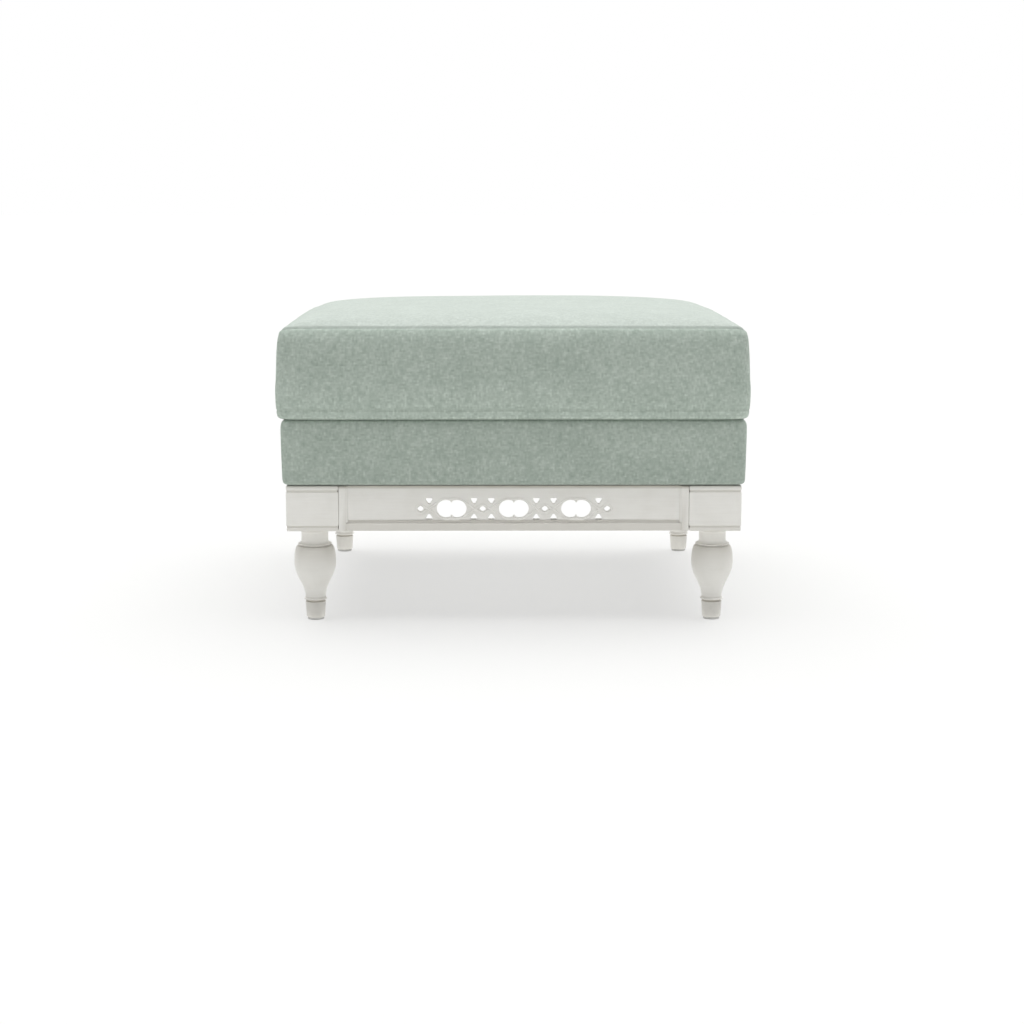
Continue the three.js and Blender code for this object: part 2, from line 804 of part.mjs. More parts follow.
// Slider astride the coil at the closed end, with its tab lying along the zip.
function zipSlider() {
  const start = -zipLength / 2 + 2 * fitGap;
  const faces = [tapeFace + fitGap, sliderFace];
  const body = block(start, start + sliderLength, ...faces, zipCentre - sliderHeight / 2, zipCentre + sliderHeight / 2);
  const tab = block(
    start + sliderLength / 2, start + sliderLength + tabLength,
    sliderFace - sliderRoof, sliderFace,
    zipCentre - tabHeight / 2, zipCentre + tabHeight / 2,
  );
  const channel = block(
    start - cutOverrun, start + sliderLength + cutOverrun,
    faces[0] - cutOverrun, sliderFace - sliderRoof,
    zipCentre - coilWidth / 2 - fitGap, zipCentre + coilWidth / 2 + fitGap,
  );
  return toGeometry(cut(body.add(tab), channel));
}

// The pieces, each a named mesh in its place

const creaseAngle = Math.PI / 6;
const ottoman = new THREE.Group();

function piece(name, geometry, material, parent = ottoman) {
  const mesh = new THREE.Mesh(toCreasedNormals(geometry, creaseAngle), material);
  mesh.name = name;
  parent.add(mesh);
  return mesh;
}

const corners = [
  { name: "front_left", x: -1, y: -1, turn: 0 },
  { name: "front_right", x: 1, y: -1, turn: Math.PI / 2 },
  { name: "rear_right", x: 1, y: 1, turn: Math.PI },
  { name: "rear_left", x: -1, y: 1, turn: -Math.PI / 2 },
];
const postGeometry = toGeometry(postSolid());
const blockGeometry = cornerBlock();
for (const corner of corners) {
  const place = (mesh, z) => mesh.position.set(corner.x * boltX, corner.y * boltY, z);
  place(piece(`glide_${corner.name}`, turned(glideProfile(), smallRoundSteps), nylon), 0);
  place(piece(`leg_${corner.name}`, turned(legProfile(), turningSteps), lacquer), legBottom);
  place(piece(`leg_bolt_${corner.name}`, turned(boltProfile(), smallRoundSteps), steel), 0);
  place(piece(`tee_nut_${corner.name}`, turned(teeNutProfile(), smallRoundSteps), steel), 0);
  const post = piece(`post_${corner.name}`, postGeometry, lacquer);
  place(post, plinthBottom);
  post.rotation.z = corner.turn;
  const mirrored = piece(`corner_block_${corner.name}`, blockGeometry.clone(), rawWood);
  mirrored.scale.set(-corner.x, -corner.y, 1);
}

const sides = [
  { name: "front", length: openingWidth, out: plinthDepth / 2, turn: 0 },
  { name: "right", length: openingDepth, out: plinthWidth / 2, turn: Math.PI / 2 },
  { name: "rear", length: openingWidth, out: plinthDepth / 2, turn: Math.PI },
  { name: "left", length: openingDepth, out: plinthWidth / 2, turn: -Math.PI / 2 },
];
for (const side of sides) {
  const apron = new THREE.Group();
  apron.rotation.z = side.turn;
  ottoman.add(apron);
  const frame = piece(`apron_${side.name}`, apronFrame(side.length), lacquer, apron);
  const panel = piece(`fret_panel_${side.name}`, fretPanel(side.length), lacquer, apron);
  for (const mesh of [frame, panel]) mesh.position.set(0, apronSetback - side.out, plinthBottom);
}

for (const [name, towards] of [["front", -1], ["rear", 1]]) {
  const rail = new THREE.BoxGeometry(boxWidth, railThickness, railHeight);
  const y = towards * (boxDepth / 2 - railThickness / 2);
  piece(`seat_rail_${name}`, rail, rawWood).position.set(0, y, railBottom + railHeight / 2);
}
for (const [name, towards] of [["left", -1], ["right", 1]]) {
  const rail = new THREE.BoxGeometry(railThickness, boxDepth - 2 * railThickness - 2 * fitGap, railHeight);
  const x = towards * (boxWidth / 2 - railThickness / 2);
  piece(`seat_rail_${name}`, rail, rawWood).position.set(x, 0, railBottom + railHeight / 2);
}

const springGeometry = sinuousSpring();
const clipGeometry = springClip();
for (let i = 0; i < springCount; i++) {
  const x = (i - (springCount - 1) / 2) * springSpacing;
  piece(`spring_${i + 1}`, springGeometry, steel).position.set(x, 0, springRest);
  for (const [name, towards] of [["front", -1], ["rear", 1]]) {
    const clip = piece(`spring_clip_${name}_${i + 1}`, clipGeometry, nylon);
    clip.position.set(x, (towards * springSpan) / 2, railTop + fitGap);
    clip.rotation.z = towards < 0 ? 0 : Math.PI;
  }
}

const insulatorInset = railThickness / 2;
const insulator = new THREE.BoxGeometry(
  boxWidth - 2 * insulatorInset,
  boxDepth - 2 * insulatorInset,
  insulatorThickness,
);
piece("spring_insulator", insulator, wadding).position.z = insulatorBottom + insulatorThickness / 2;
piece("deck_foam", deckFoam(), foam);
piece("edge_foam", edgeFoam(), foam);
piece("seat_box_cover", baseCover(), weave);
piece("dust_cloth", dustCloth(), lining);

piece("cushion_cover", cushionCover(), weave);
piece("cushion_core", foamCore(), foam);
piece("cushion_topper", crownTopper(), wadding);
piece("zip_chain", zipChain(), nylon);
piece("zip_slider", zipSlider(), steel);

export default ottoman;
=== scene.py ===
import json
import math

import bmesh
import bpy
import numpy as np
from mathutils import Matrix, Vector, noise


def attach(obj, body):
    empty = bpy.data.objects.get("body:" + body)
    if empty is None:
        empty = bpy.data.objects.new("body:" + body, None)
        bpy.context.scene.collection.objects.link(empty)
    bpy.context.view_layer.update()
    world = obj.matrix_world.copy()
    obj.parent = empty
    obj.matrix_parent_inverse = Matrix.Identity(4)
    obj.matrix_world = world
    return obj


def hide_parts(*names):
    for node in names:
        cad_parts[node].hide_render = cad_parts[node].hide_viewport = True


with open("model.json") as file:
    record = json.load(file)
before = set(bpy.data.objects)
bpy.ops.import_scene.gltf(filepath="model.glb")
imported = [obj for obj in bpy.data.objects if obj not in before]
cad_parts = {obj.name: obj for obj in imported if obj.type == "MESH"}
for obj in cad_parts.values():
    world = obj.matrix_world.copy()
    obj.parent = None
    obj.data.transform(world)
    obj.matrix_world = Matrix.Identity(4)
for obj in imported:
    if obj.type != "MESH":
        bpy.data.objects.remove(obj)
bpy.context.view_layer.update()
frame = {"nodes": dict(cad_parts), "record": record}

scene = bpy.context.scene
mm = 0.001

# camera: solved from the legs, the seams and the rear feet in the picture
shot = {
    "lens": 74.34,
    "spot": (-0.0197, -3.4487, 0.654),
    "down": 8.8626,   # degrees
    "right": 0.312,
}


def linked(name, data):
    thing = bpy.data.objects.new(name, data)
    scene.collection.objects.link(thing)
    return thing


def placeCamera(s):
    lensData = bpy.data.cameras.new("productShot")
    lensData.lens = s["lens"]
    lensData.sensor_width = 36
    camera = linked("productShot", lensData)
    camera.location = s["spot"]
    camera.rotation_euler = (math.radians(90 - s["down"]), 0, -math.radians(s["right"]))
    scene.camera = camera


placeCamera(shot)
print("camera set")


# small node helpers
def newFinish(name, colour, roughness):
    finish = bpy.data.materials.new(name)
    finish.use_nodes = True
    tree = finish.node_tree
    shader = tree.nodes["Principled BSDF"]
    shader.inputs["Base Color"].default_value = (*colour, 1)
    shader.inputs["Roughness"].default_value = roughness
    return finish, tree, shader


def wire(value, socket):
    # a socket is linked, a number or a vector is typed in
    if isinstance(value, bpy.types.NodeSocket):
        socket.id_data.links.new(value, socket)
    else:
        socket.default_value = value


def nodeBy(socket, kind):
    # a new node in the tree that the socket is in
    return socket.id_data.nodes.new("ShaderNode" + kind)


def fed(node, values, entries=range(5)):
    # each value goes to an entry of its own
    for value, entry in zip(values, entries):
        wire(value, node.inputs[entry])
    return node


def sums(kind, first, second=0.0, third=0.0):
    node = nodeBy(first, "Math")
    node.operation = kind
    return fed(node, (first, second, third)).outputs[0]


def times(first, second):
    return sums("MULTIPLY", first, second)


def plus(first, second):
    return sums("ADD", first, second)


def triple(x, y, z=0.0):
    return fed(nodeBy(x, "CombineXYZ"), (x, y, z)).outputs[0]


def parts(vector):
    return fed(nodeBy(vector, "SeparateXYZ"), (vector,)).outputs


def stretched(spot, level, upright):
    # for marks that run level: how fine they are along their length, and in height
    x, y, z = parts(spot)
    return triple(times(x, level), times(y, level), times(z, upright))


def cloud(where, scale, detail=2.0, roughness=0.5):
    values = (where, scale, detail, roughness)
    return fed(nodeBy(where, "TexNoise"), values, ("Vector", "Scale", "Detail", "Roughness")).outputs["Fac"]


def blendOf(share, first, second):
    # a mix of two values
    node = nodeBy(first, "Mix")
    node.data_type = "FLOAT"
    return fed(node, (share, first, second), (0, 2, 3)).outputs[0]


def tintOf(share, first, second):
    # a mix of two colours
    node = nodeBy(share, "Mix")
    node.data_type = "RGBA"
    return fed(node, (share, first, (*second, 1)), (0, 6, 7)).outputs[2]


def dimmed(colour, amount):
    node = nodeBy(colour, "VectorMath")
    node.operation = "SCALE"
    return fed(node, (colour, amount), (0, "Scale")).outputs[0]


def ramp(value, stops):
    node = fed(nodeBy(value, "ValToRGB"), (value,))
    bar = node.color_ramp.elements
    while len(bar) < len(stops):
        bar.new(0.5)
    for element, (place, colour) in zip(bar, stops):
        element.position = place
        element.color = (*colour, 1)
    return node.outputs[0]


def spread(value, low, high, to0=0.0, to1=1.0):
    return fed(nodeBy(value, "MapRange"), (value, low, high, to0, to1)).outputs[0]


def bump(shader, height, distance, strength):
    node = fed(nodeBy(height, "Bump"), (strength, distance, height), ("Strength", "Distance", "Height"))
    wire(node.outputs[0], shader.inputs["Normal"])


def places(tree):
    return tree.nodes.new("ShaderNodeTexCoord").outputs["Object"]


def paintedShadingValue(tree):
    # the painted shading that paintShading leaves on a piece
    node = tree.nodes.new("ShaderNodeAttribute")
    node.attribute_name = "paintedShading"
    return node.outputs["Fac"]


def eyeRays(tree):
    # 1 for what the camera sees, straight, mirrored or through glass
    rays = tree.nodes.new("ShaderNodeLightPath").outputs
    turnedRays = sums("MAXIMUM", rays["Is Glossy Ray"], rays["Is Transmission Ray"])
    return sums("MAXIMUM", rays["Is Camera Ray"], turnedRays)


# finishes
melange = {
    "thread": 1.3 * mm,      # pitch of the plain weave
    "bundle": 2.6 * mm,      # slubby yarns that run together
    "slub": 9 * mm,          # how long such a yarn keeps its tone
    "deep": (0.318, 0.382, 0.332),
    "mid": (0.416, 0.485, 0.429),
    "pale": (0.543, 0.614, 0.554),
    "paintedSheenGrey": (0.640, 0.660, 0.640),      # painted sheen: the grey that the cushion's top is lightened towards, where the light falls on it
    "paintedSheenFrom": 440 * mm, "paintedSheenTo": 446 * mm, "paintedSheenShare": 0.32,
    "wander": 0.7, "wanderScale": 28,     # how far the threads stray, in threads, and how often
    "cross": 0.24,           # how much the thread on top shows over the other
    "haze": 0.24, "hazeScale": 17,        # slow change of tone over a hand's breadth
    "relief": 0.4 * mm, "slubRelief": 1.2,        # and how much of it follows the yarn's tone
    "sheen": 0.10,
    "seamShade": 0.30,       # how much painted shade darkens the cloth where it turns into a seam; where the mark is below 0, painted light lightens it
}


def wovenCloth(name, yarn):
    # every thread has its own slowly changing tone, so the cloth is heathered along and across
    finish, tree, shader = newFinish(name, yarn["mid"], 0.92)
    mapNode = tree.nodes.new("ShaderNodeUVMap")
    mapNode.uv_map = "cloth"
    onCloth = mapNode.outputs[0]
    u, v, _ = parts(onCloth)
    strayed = cloud(onCloth, yarn["wanderScale"], 2)
    drift = sums("MULTIPLY_ADD", strayed, yarn["wander"], -yarn["wander"] / 2)
    column, row = (plus(sums("DIVIDE", way, yarn["thread"]), drift) for way in (u, v))
    crossing = plus(sums("FLOOR", column), sums("FLOOR", row))
    warpOver = sums("MODULO", sums("ABSOLUTE", crossing), 2)
    bundles = [plus(sums("DIVIDE", way, yarn["bundle"]), drift) for way in (u, v)]
    warpNumber, weftNumber = (sums("FLOOR", bundle) for bundle in bundles)
    along, up = (sums("DIVIDE", way, yarn["slub"]) for way in (u, v))
    weftTone = cloud(triple(along, times(weftNumber, 5.3)), 1, 1.5)
    warpTone = cloud(triple(times(warpNumber, 5.3), up, 9.0), 1, 1.5)
    shown = blendOf(warpOver, weftTone, warpTone)
    both = times(plus(weftTone, warpTone), 0.5)
    haze = cloud(onCloth, yarn["hazeScale"], 3)
    tone = plus(blendOf(yarn["cross"], both, shown),
                sums("MULTIPLY_ADD", haze, yarn["haze"], -yarn["haze"] / 2))
    tint = ramp(tone, ((0.28, yarn["deep"]), (0.50, yarn["mid"]), (0.72, yarn["pale"])))
    # painted sheen: above the seam, the cushion's top is lightened towards grey to stand for the light's
    # sheen on it
    height = parts(places(tree))[2]
    paintedSheen = spread(height, yarn["paintedSheenFrom"], yarn["paintedSheenTo"], 0.0, yarn["paintedSheenShare"])
    # painted shade darkens the cloth at the seams, and painted light lightens it where the mark is below 0
    shade = sums("MULTIPLY_ADD", paintedShadingValue(tree), -yarn["seamShade"], 1.0)
    cloth = dimmed(tintOf(paintedSheen, tint, yarn["paintedSheenGrey"]), shade)
    wire(cloth, shader.inputs["Base Color"])
    waves = [sums("SINE", times(way, math.pi)) for way in (row, column)]
    weftRound, warpRound = (sums("ABSOLUTE", wave) for wave in waves)
    thread = blendOf(warpOver, times(weftRound, plus(warpRound, 0.5)), times(warpRound, plus(weftRound, 0.5)))
    bump(shader, plus(thread, times(tone, yarn["slubRelief"])), yarn["relief"], 0.6)
    fed(shader, (yarn["sheen"], 0.45, 0.5), ("Sheen Weight", "Sheen Roughness", "Specular IOR Level"))
    return finish


lacquer = {
    "colour": (0.868, 0.858, 0.822),
    "rubbed": (0.828, 0.815, 0.775),
    "darkening": (0.52, 0.49, 0.43),      # grey-brown of the painted shade in the grooves and hollows and under the seat box
    "roughness": 0.42,
    "drag": (22, 420),       # how fine the marks of the brush are, along and across it
    "patch": 34, "peel": 620,
    "relief": 0.12 * mm,
    "floorShade": 0.93,         # how much light the feet keep under the painted shade, which darkens the paint towards the floor
    "floorShadeTop": 31 * mm, "floorShadeWander": 6 * mm, "floorShadeBlur": 3 * mm,
    "underSeatShadeFrom": 202.8 * mm, "underSeatShadeTo": 206.4 * mm,   # more painted shade along the plinth's top edge, under the seat box
}


def brushedLacquer(name, paint):
    # a satin paint with the faint drag of the brush and a little of the grain under it
    finish, tree, shader = newFinish(name, paint["colour"], paint["roughness"])
    spot = places(tree)
    z = parts(spot)[2]
    drag = cloud(stretched(spot, *paint["drag"]), 1, 3, 0.6)
    patch = cloud(spot, paint["patch"], 3)
    mix = sums("MULTIPLY_ADD", drag, 0.36, times(patch, 0.64))
    tint = ramp(mix, ((0.34, paint["rubbed"]), (0.58, paint["colour"])))
    # painted shade: the paint darkens towards the floor, below a wavy line
    wavyHeight = sums("MULTIPLY_ADD", patch, paint["floorShadeWander"], z)
    top, blur = paint["floorShadeTop"], paint["floorShadeBlur"]
    wearAndShade = spread(wavyHeight, top - blur, top + blur, paint["floorShade"], 1.0)
    # painted shade in the grooves and hollows and along the plinth's top edge, tinted grey-brown
    shadeAmount = plus(paintedShadingValue(tree), spread(z, paint["underSeatShadeFrom"], paint["underSeatShadeTo"]))
    shadeShare = times(shadeAmount, spread(patch, 0.3, 0.7, 0.8, 1.0))
    paintedShade = tintOf(shadeShare, tint, paint["darkening"])
    wire(dimmed(paintedShade, wearAndShade), shader.inputs["Base Color"])
    satin = spread(patch, 0.3, 0.7, paint["roughness"] - 0.05, paint["roughness"] + 0.08)
    wire(satin, shader.inputs["Roughness"])
    peel = cloud(spot, paint["peel"], 2)
    skin = sums("MULTIPLY_ADD", drag, 0.7, times(peel, 0.5))
    bump(shader, skin, paint["relief"], 0.35)
    return finish


def sawnWood(name):
    finish, tree, shader = newFinish(name, (0.56, 0.40, 0.24), 0.7)
    spot = places(tree)
    rings = cloud(stretched(spot, 9, 210), 1, 4, 0.6)
    tint = ramp(rings, ((0.3, (0.42, 0.28, 0.15)), (0.7, (0.66, 0.50, 0.32))))
    wire(tint, shader.inputs["Base Color"])
    bump(shader, rings, 0.3 * mm, 0.4)
    return finish


def plainCloth(name, low, high, pitch, relief):
    # lining, foam and wadding: a fine even grain on object coordinates
    finish, tree, shader = newFinish(name, high, 0.95)
    spot = places(tree)
    grain = cloud(spot, 1 / pitch, 3, 0.6)
    soft = cloud(spot, 14, 3)
    tone = sums("MULTIPLY_ADD", grain, 0.6, times(soft, 0.4))
    wire(ramp(tone, ((0.35, low), (0.65, high))), shader.inputs["Base Color"])
    bump(shader, grain, relief, 0.6)
    return finish


def drawnSteel(name, colour, roughness):
    finish, tree, shader = newFinish(name, colour, roughness)
    shader.inputs["Metallic"].default_value = 1.0
    spot = places(tree)
    scuff = cloud(spot, 900, 3)
    wearAndShade = spread(scuff, 0.3, 0.7, roughness - 0.08, roughness + 0.12)
    wire(wearAndShade, shader.inputs["Roughness"])
    bump(shader, scuff, 0.03 * mm, 0.4)
    return finish


def mouldedNylon(name, colour):
    finish, tree, shader = newFinish(name, colour, 0.5)
    spot = places(tree)
    fine = cloud(spot, 1500, 2)
    dull = tuple(c * 0.9 for c in colour)
    tint = ramp(cloud(spot, 60, 2), ((0.3, dull), (0.7, colour)))
    wire(tint, shader.inputs["Base Color"])
    bump(shader, fine, 0.05 * mm, 0.4)
    return finish


sage = wovenCloth("sageMelange", melange)
paint = brushedLacquer("whiteLacquerWithPaintedShade", lacquer)
finishes = {
    "painted_wood": paint,
    "upholstery": sage,
    "dust_cloth": plainCloth("dustCloth", (0.50, 0.50, 0.48), (0.64, 0.64, 0.62), 0.9 * mm, 0.2 * mm),
    "foam": plainCloth("cutFoam", (0.72, 0.67, 0.50), (0.86, 0.82, 0.66), 1.4 * mm, 0.4 * mm),
    "wadding": plainCloth("wadding", (0.80, 0.80, 0.77), (0.92, 0.92, 0.90), 3.5 * mm, 0.6 * mm),
    "raw_wood": sawnWood("sawnRail"),
    "steel": drawnSteel("fastenerSteel", (0.50, 0.50, 0.50), 0.34),
    "spring_steel": drawnSteel("springSteel", (0.25, 0.25, 0.26), 0.42),
    "glide_nylon": mouldedNylon("glideNylon", (0.62, 0.62, 0.60)),
    "zip_tape": plainCloth("zipTape", (0.36, 0.41, 0.37), (0.46, 0.52, 0.47), 1.0 * mm, 0.2 * mm),
}
for row in frame["record"]["subparts"]:
    holder = frame["nodes"][row["node"]]
    holder.data.materials.clear()
    holder.data.materials.append(finishes[row["material_slot"]])
print("finishes made")


# making pieces
def paintShading(piece, amounts):
    # up to 1 where painted shade darkens paint and cloth, in grooves, creases and seams; below 0 the paint's
    # painted shade is held off and the cloth gets painted light
    mark = piece.data.attributes.new("paintedShading", "FLOAT", "POINT")
    mark.data.foreach_set("value", np.asarray(amounts, float))


def addPiece(name, verts, faces, finish, body, stands=()):
    mesh = bpy.data.meshes.new(name)
    mesh.from_pydata([tuple(map(float, v)) for v in verts], [], [tuple(map(int, f)) for f in faces])
    mesh.update()
    mesh.shade_smooth()
    mesh.materials.append(finish)
    piece = linked(name, mesh)
    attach(piece, body)
    if stands:
        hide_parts(*stands)
    return piece


def settle(piece):
    # modifiers become plain mesh
    graph = bpy.context.evaluated_depsgraph_get()
    made = bpy.data.meshes.new_from_object(piece.evaluated_get(graph), preserve_all_data_layers=True,
                                           depsgraph=graph)
    piece.modifiers.clear()
    piece.data = made


def easeEdges(piece, width, segments=2, angle=28):
    edge = piece.modifiers.new("arris", "BEVEL")
    edge.width = width
    edge.segments = segments
    edge.limit_method = "ANGLE"
    edge.angle_limit = math.radians(angle)
    edge.harden_normals = False
    flat = piece.modifiers.new("flats", "WEIGHTED_NORMAL")
    flat.keep_sharp = False
    flat.weight = 80
    settle(piece)


def faceOutward(piece, weld=0.0):
    # normals point out of the piece; spots closer than the weld become one
    shape = bmesh.new()
    shape.from_mesh(piece.data)
    if weld:
        bmesh.ops.remove_doubles(shape, verts=shape.verts, dist=weld)
    bmesh.ops.recalc_face_normals(shape, faces=shape.faces)
    shape.to_mesh(piece.data)
    shape.free()


def ringFaces(rings, steps, first=0):
    # four-sided faces between rings of spots that follow one another
    faces = []
    for level in range(rings - 1):
        low, high = first + level * steps, first + (level + 1) * steps
        for i in range(steps):
            j = (i + 1) % steps
            faces.append((low + i, low + j, high + j, high + i))
    return faces


def solidBetween(near, far):
    # a closed solid between two like outlines
    n = len(near)
    faces = [tuple(range(n)), tuple(range(2 * n - 1, n - 1, -1))]
    faces += [(i, n + i, n + (i + 1) % n, (i + 1) % n) for i in range(n)]
    return near + far, faces


def joined(shapes):
    verts, faces = [], []
    for someVerts, someFaces in shapes:
        start = len(verts)
        verts += list(someVerts)
        faces += [tuple(start + i for i in face) for face in someFaces]
    return np.array(verts, float), faces


def unit(rows):
    return rows / (np.linalg.norm(rows, axis=1)[:, None] + 1e-9)


def runAlong(line):
    # how far it is along a line to each of its spots
    return np.concatenate([[0], np.cumsum(np.linalg.norm(np.diff(line, axis=0), axis=1))])


def spotsOf(mesh):
    return np.array([v.co for v in mesh.vertices])


def moveSpots(piece, spots):
    piece.data.vertices.foreach_set("co", spots.ravel())
    piece.data.update()


def turnSpots(verts, degrees):
    angle = math.radians(degrees)
    c, s = math.cos(angle), math.sin(angle)
    verts = np.asarray(verts, float)
    return np.stack([c * verts[:, 0] - s * verts[:, 1], s * verts[:, 0] + c * verts[:, 1], verts[:, 2]], 1)


# legs and glides
legShape = {
    "centre": 0.300,
    "foot": 3.3 * mm,        # on its glide
    "steps": 96,
    "chamfer": 1.0, "arris": 0.5,
    "footRadius": 13.9, "footTop": 15.3, "footHeight": 24.4, "footLip": (0.6, 0.5),
    "creaseRadius": 13.7, "creaseTop": 27.0, "creaseStep": 0.2,     # dark crease under the ankle ring
    "ringRadius": 17.3, "ringTop": 29.6,
    "ankle": 15.3, "ankleHeight": 30.4, "ankleEase": 21.0,
    "belly": 31.4, "bellyHeight": 84.0, "shoulderEase": 10.0,
    "rim": 26.8, "rimHeight": 109.6, "rimSoftness": 3.6,
    "groove": 22.8, "grooveTop": 112.0, "grooveStep": 0.3,
    "lip": 25.4, "lipTop": 113.2, "lipStep": 0.1,
    "neck": 20.2, "neckHeight": 119.5, "coveOut": 1.2, "coveUp": 0.2, "coveEase": 4.0,
    "collar": 21.6, "collarHeight": 4.2, "collarSlope": 1.6, "top": 136.4,
    "paintedShade": [  # height and strength of the painted shade, in the creases, under the rim and on the shoulder
        (0, 0.45), (3, 0.25), (18, 0.12), (23.6, 0.30), (24.4, 0.9), (27.0, 0.9), (27.6, 0.2), (29.4, 0.05),
        (30.4, 0.5), (31.6, 0.1), (40, 0), (72, 0.03), (86, 0.2), (96, 0.36), (104, 0.48), (109.5, 0.5),
        (109.7, 0.3), (112, 0.3), (112.4, 0.05), (114, 0), (131, 0), (132.4, 0.3), (133.5, 0.1), (136.4, 0.5),
    ],
}


def bezier(a, b, c, d, steps):
    t = np.linspace(0, 1, steps + 1)[:, None]
    a, b, c, d = (np.array(p, float) for p in (a, b, c, d))
    return (1 - t) ** 3 * a + 3 * (1 - t) ** 2 * t * b + 3 * (1 - t) * t ** 2 * c + t ** 3 * d


def roundCorners(points, reach):
    # each inner corner of a profile is cut by a short curve, no longer than a third of its sides
    points = [np.array(p, float) for p in points]
    eased = [points[0]]
    for before, corner, after in zip(points, points[1:], points[2:]):
        a = before - corner
        b = after - corner
        la, lb = np.linalg.norm(a), np.linalg.norm(b)
        nearlyStraight = a @ b / (la * lb) < -0.93
        if nearlyStraight:
            eased.append(corner)
            continue
        cut = min(reach, la / 3, lb / 3)
        start, end = corner + a / la * cut, corner + b / lb * cut
        for t in np.linspace(0, 1, 4):
            eased.append((1 - t) ** 2 * start + 2 * t * (1 - t) * corner + t ** 2 * end)
    eased.append(points[-1])
    return np.array(eased)


def legProfile(s):
    ringMid = (s["creaseTop"] + s["ringTop"]) / 2
    ringHalf = (s["ringTop"] - s["creaseTop"]) / 2
    ring = [(s["ankle"] + (s["ringRadius"] - s["ankle"]) * math.cos(a), ringMid + ringHalf * math.sin(a))
            for a in np.linspace(-math.pi / 2, math.pi / 2, 9)]
    lower = bezier((s["ankle"], s["ankleHeight"]), (s["ankle"], s["ankleHeight"] + s["ankleEase"]),
                   (s["belly"], s["bellyHeight"] - s["ankleEase"]), (s["belly"], s["bellyHeight"]), 26)
    upper = bezier((s["belly"], s["bellyHeight"]), (s["belly"], s["bellyHeight"] + s["shoulderEase"]),
                   (s["rim"] + s["rimSoftness"], s["rimHeight"] - s["rimSoftness"]),
                   (s["rim"], s["rimHeight"]), 16)
    cove = bezier((s["lip"], s["lipTop"]), (s["neck"] + s["coveOut"], s["lipTop"] + s["coveUp"]),
                  (s["neck"], s["neckHeight"] - s["coveEase"]), (s["neck"], s["neckHeight"]), 9)
    lipIn, lipUp = s["footLip"]
    rough = [(0, 0), (s["footRadius"] - s["chamfer"], 0), (s["footRadius"], s["chamfer"]),
             (s["footTop"], s["footHeight"] - lipUp), (s["footTop"] - lipIn, s["footHeight"]),
             (s["creaseRadius"], s["footHeight"] + lipUp),
             (s["creaseRadius"], s["creaseTop"] - s["creaseStep"])]
    rough += ring
    rough += [tuple(p) for p in lower] + [tuple(p) for p in upper[1:]]
    rough += [(s["groove"], s["rimHeight"] + s["grooveStep"]), (s["groove"], s["grooveTop"]),
              (s["lip"], s["grooveTop"] + s["lipStep"])]
    rough += [tuple(p) for p in cove]
    collarFoot = s["top"] - s["collarHeight"]
    rough += [(s["neck"], collarFoot - s["collarSlope"]), (s["collar"], collarFoot),
              (s["collar"], s["top"]), (0, s["top"])]
    return roundCorners(rough, s["arris"]) * mm


def turned(name, profile, spot, steps, finish, stands, paintedShade=None):
    angles = np.linspace(0, 2 * math.pi, steps, endpoint=False)
    rings = profile[1:-1]
    verts = [(spot[0] + r * math.cos(a), spot[1] + r * math.sin(a), spot[2] + z)
             for r, z in rings for a in angles]
    verts += [(spot[0], spot[1], spot[2] + profile[0][1]), (spot[0], spot[1], spot[2] + profile[-1][1])]
    faces = ringFaces(len(rings), steps)
    low, high, last = len(verts) - 2, len(verts) - 1, (len(rings) - 1) * steps
    for i in range(steps):
        j = (i + 1) % steps
        faces += [(low, j, i), (high, last + i, last + j)]
    piece = addPiece(name, verts, faces, finish, "stool", stands)
    piece.data.set_sharp_from_angle(angle=math.radians(48))
    if paintedShade:
        heights = np.array([v[2] - spot[2] for v in verts]) / mm
        paintShading(piece, np.interp(heights, *zip(*paintedShade)))


glideShape = {"radius": 12.4, "thickness": 3.0, "round": 0.9, "arris": 0.3, "steps": 48}


def glideProfile(g):
    outline = [(0, 0), (g["radius"] - g["round"], 0)]
    outline += [(g["radius"] - g["round"] * (1 - math.sin(a)), g["round"] * (1 - math.cos(a)))
                for a in np.linspace(0.3, math.pi / 2, 4)]
    outline += [(g["radius"], g["thickness"] - g["arris"]), (g["radius"] - g["arris"], g["thickness"]),
                (0, g["thickness"])]
    return np.array(outline) * mm


corners = {"front_left": (-1, -1), "front_right": (1, -1), "rear_right": (1, 1), "rear_left": (-1, 1)}
for corner, (sx, sy) in corners.items():
    x, y = sx * legShape["centre"], sy * legShape["centre"]
    turned(f"turnedLeg_{corner}", legProfile(legShape), (x, y, legShape["foot"]), legShape["steps"], paint,
           [f"leg_{corner}"], legShape["paintedShade"])
    turned(f"glide_{corner}_disc", glideProfile(glideShape), (x, y, 0), glideShape["steps"],
           finishes["glide_nylon"], [f"glide_{corner}"])
print("legs turned")

# plinth: posts, apron mouldings and fretwork
plinth = {
    "foot": 140.0, "top": 208.0,
    "apronFace": 338.0,      # distance of the apron's face from the middle
    "thickness": 22.0,
    "joint": 260.7, "stile": 250.0,
    "slope": 3.6, "board": 3.1,   # width and depth of the slope from a stile back to the board
    "slopeSunk": (0.3, 0.2, 0.4),  # how far it starts in the stile, behind its face and under its top
    "overlap": 0.2,                # of the foot moulding and a stile
    "stileTop": [(1.6, 0), (0.5, 0.8), (0, 2.4)],      # depth and drop of its eased front edge
    "arris": 0.7,
    # painted shade on the moulding: how far along, up to which height, and from which depth on the ledge
    "shadedHalf": 251, "footEdge": 0.6, "bandTop": 11.2, "ledgeTop": 17, "ledgeDepth": 0.8,
    "bandShade": 0.36, "footShade": 0.50, "ledgeShade": 0.40,
}
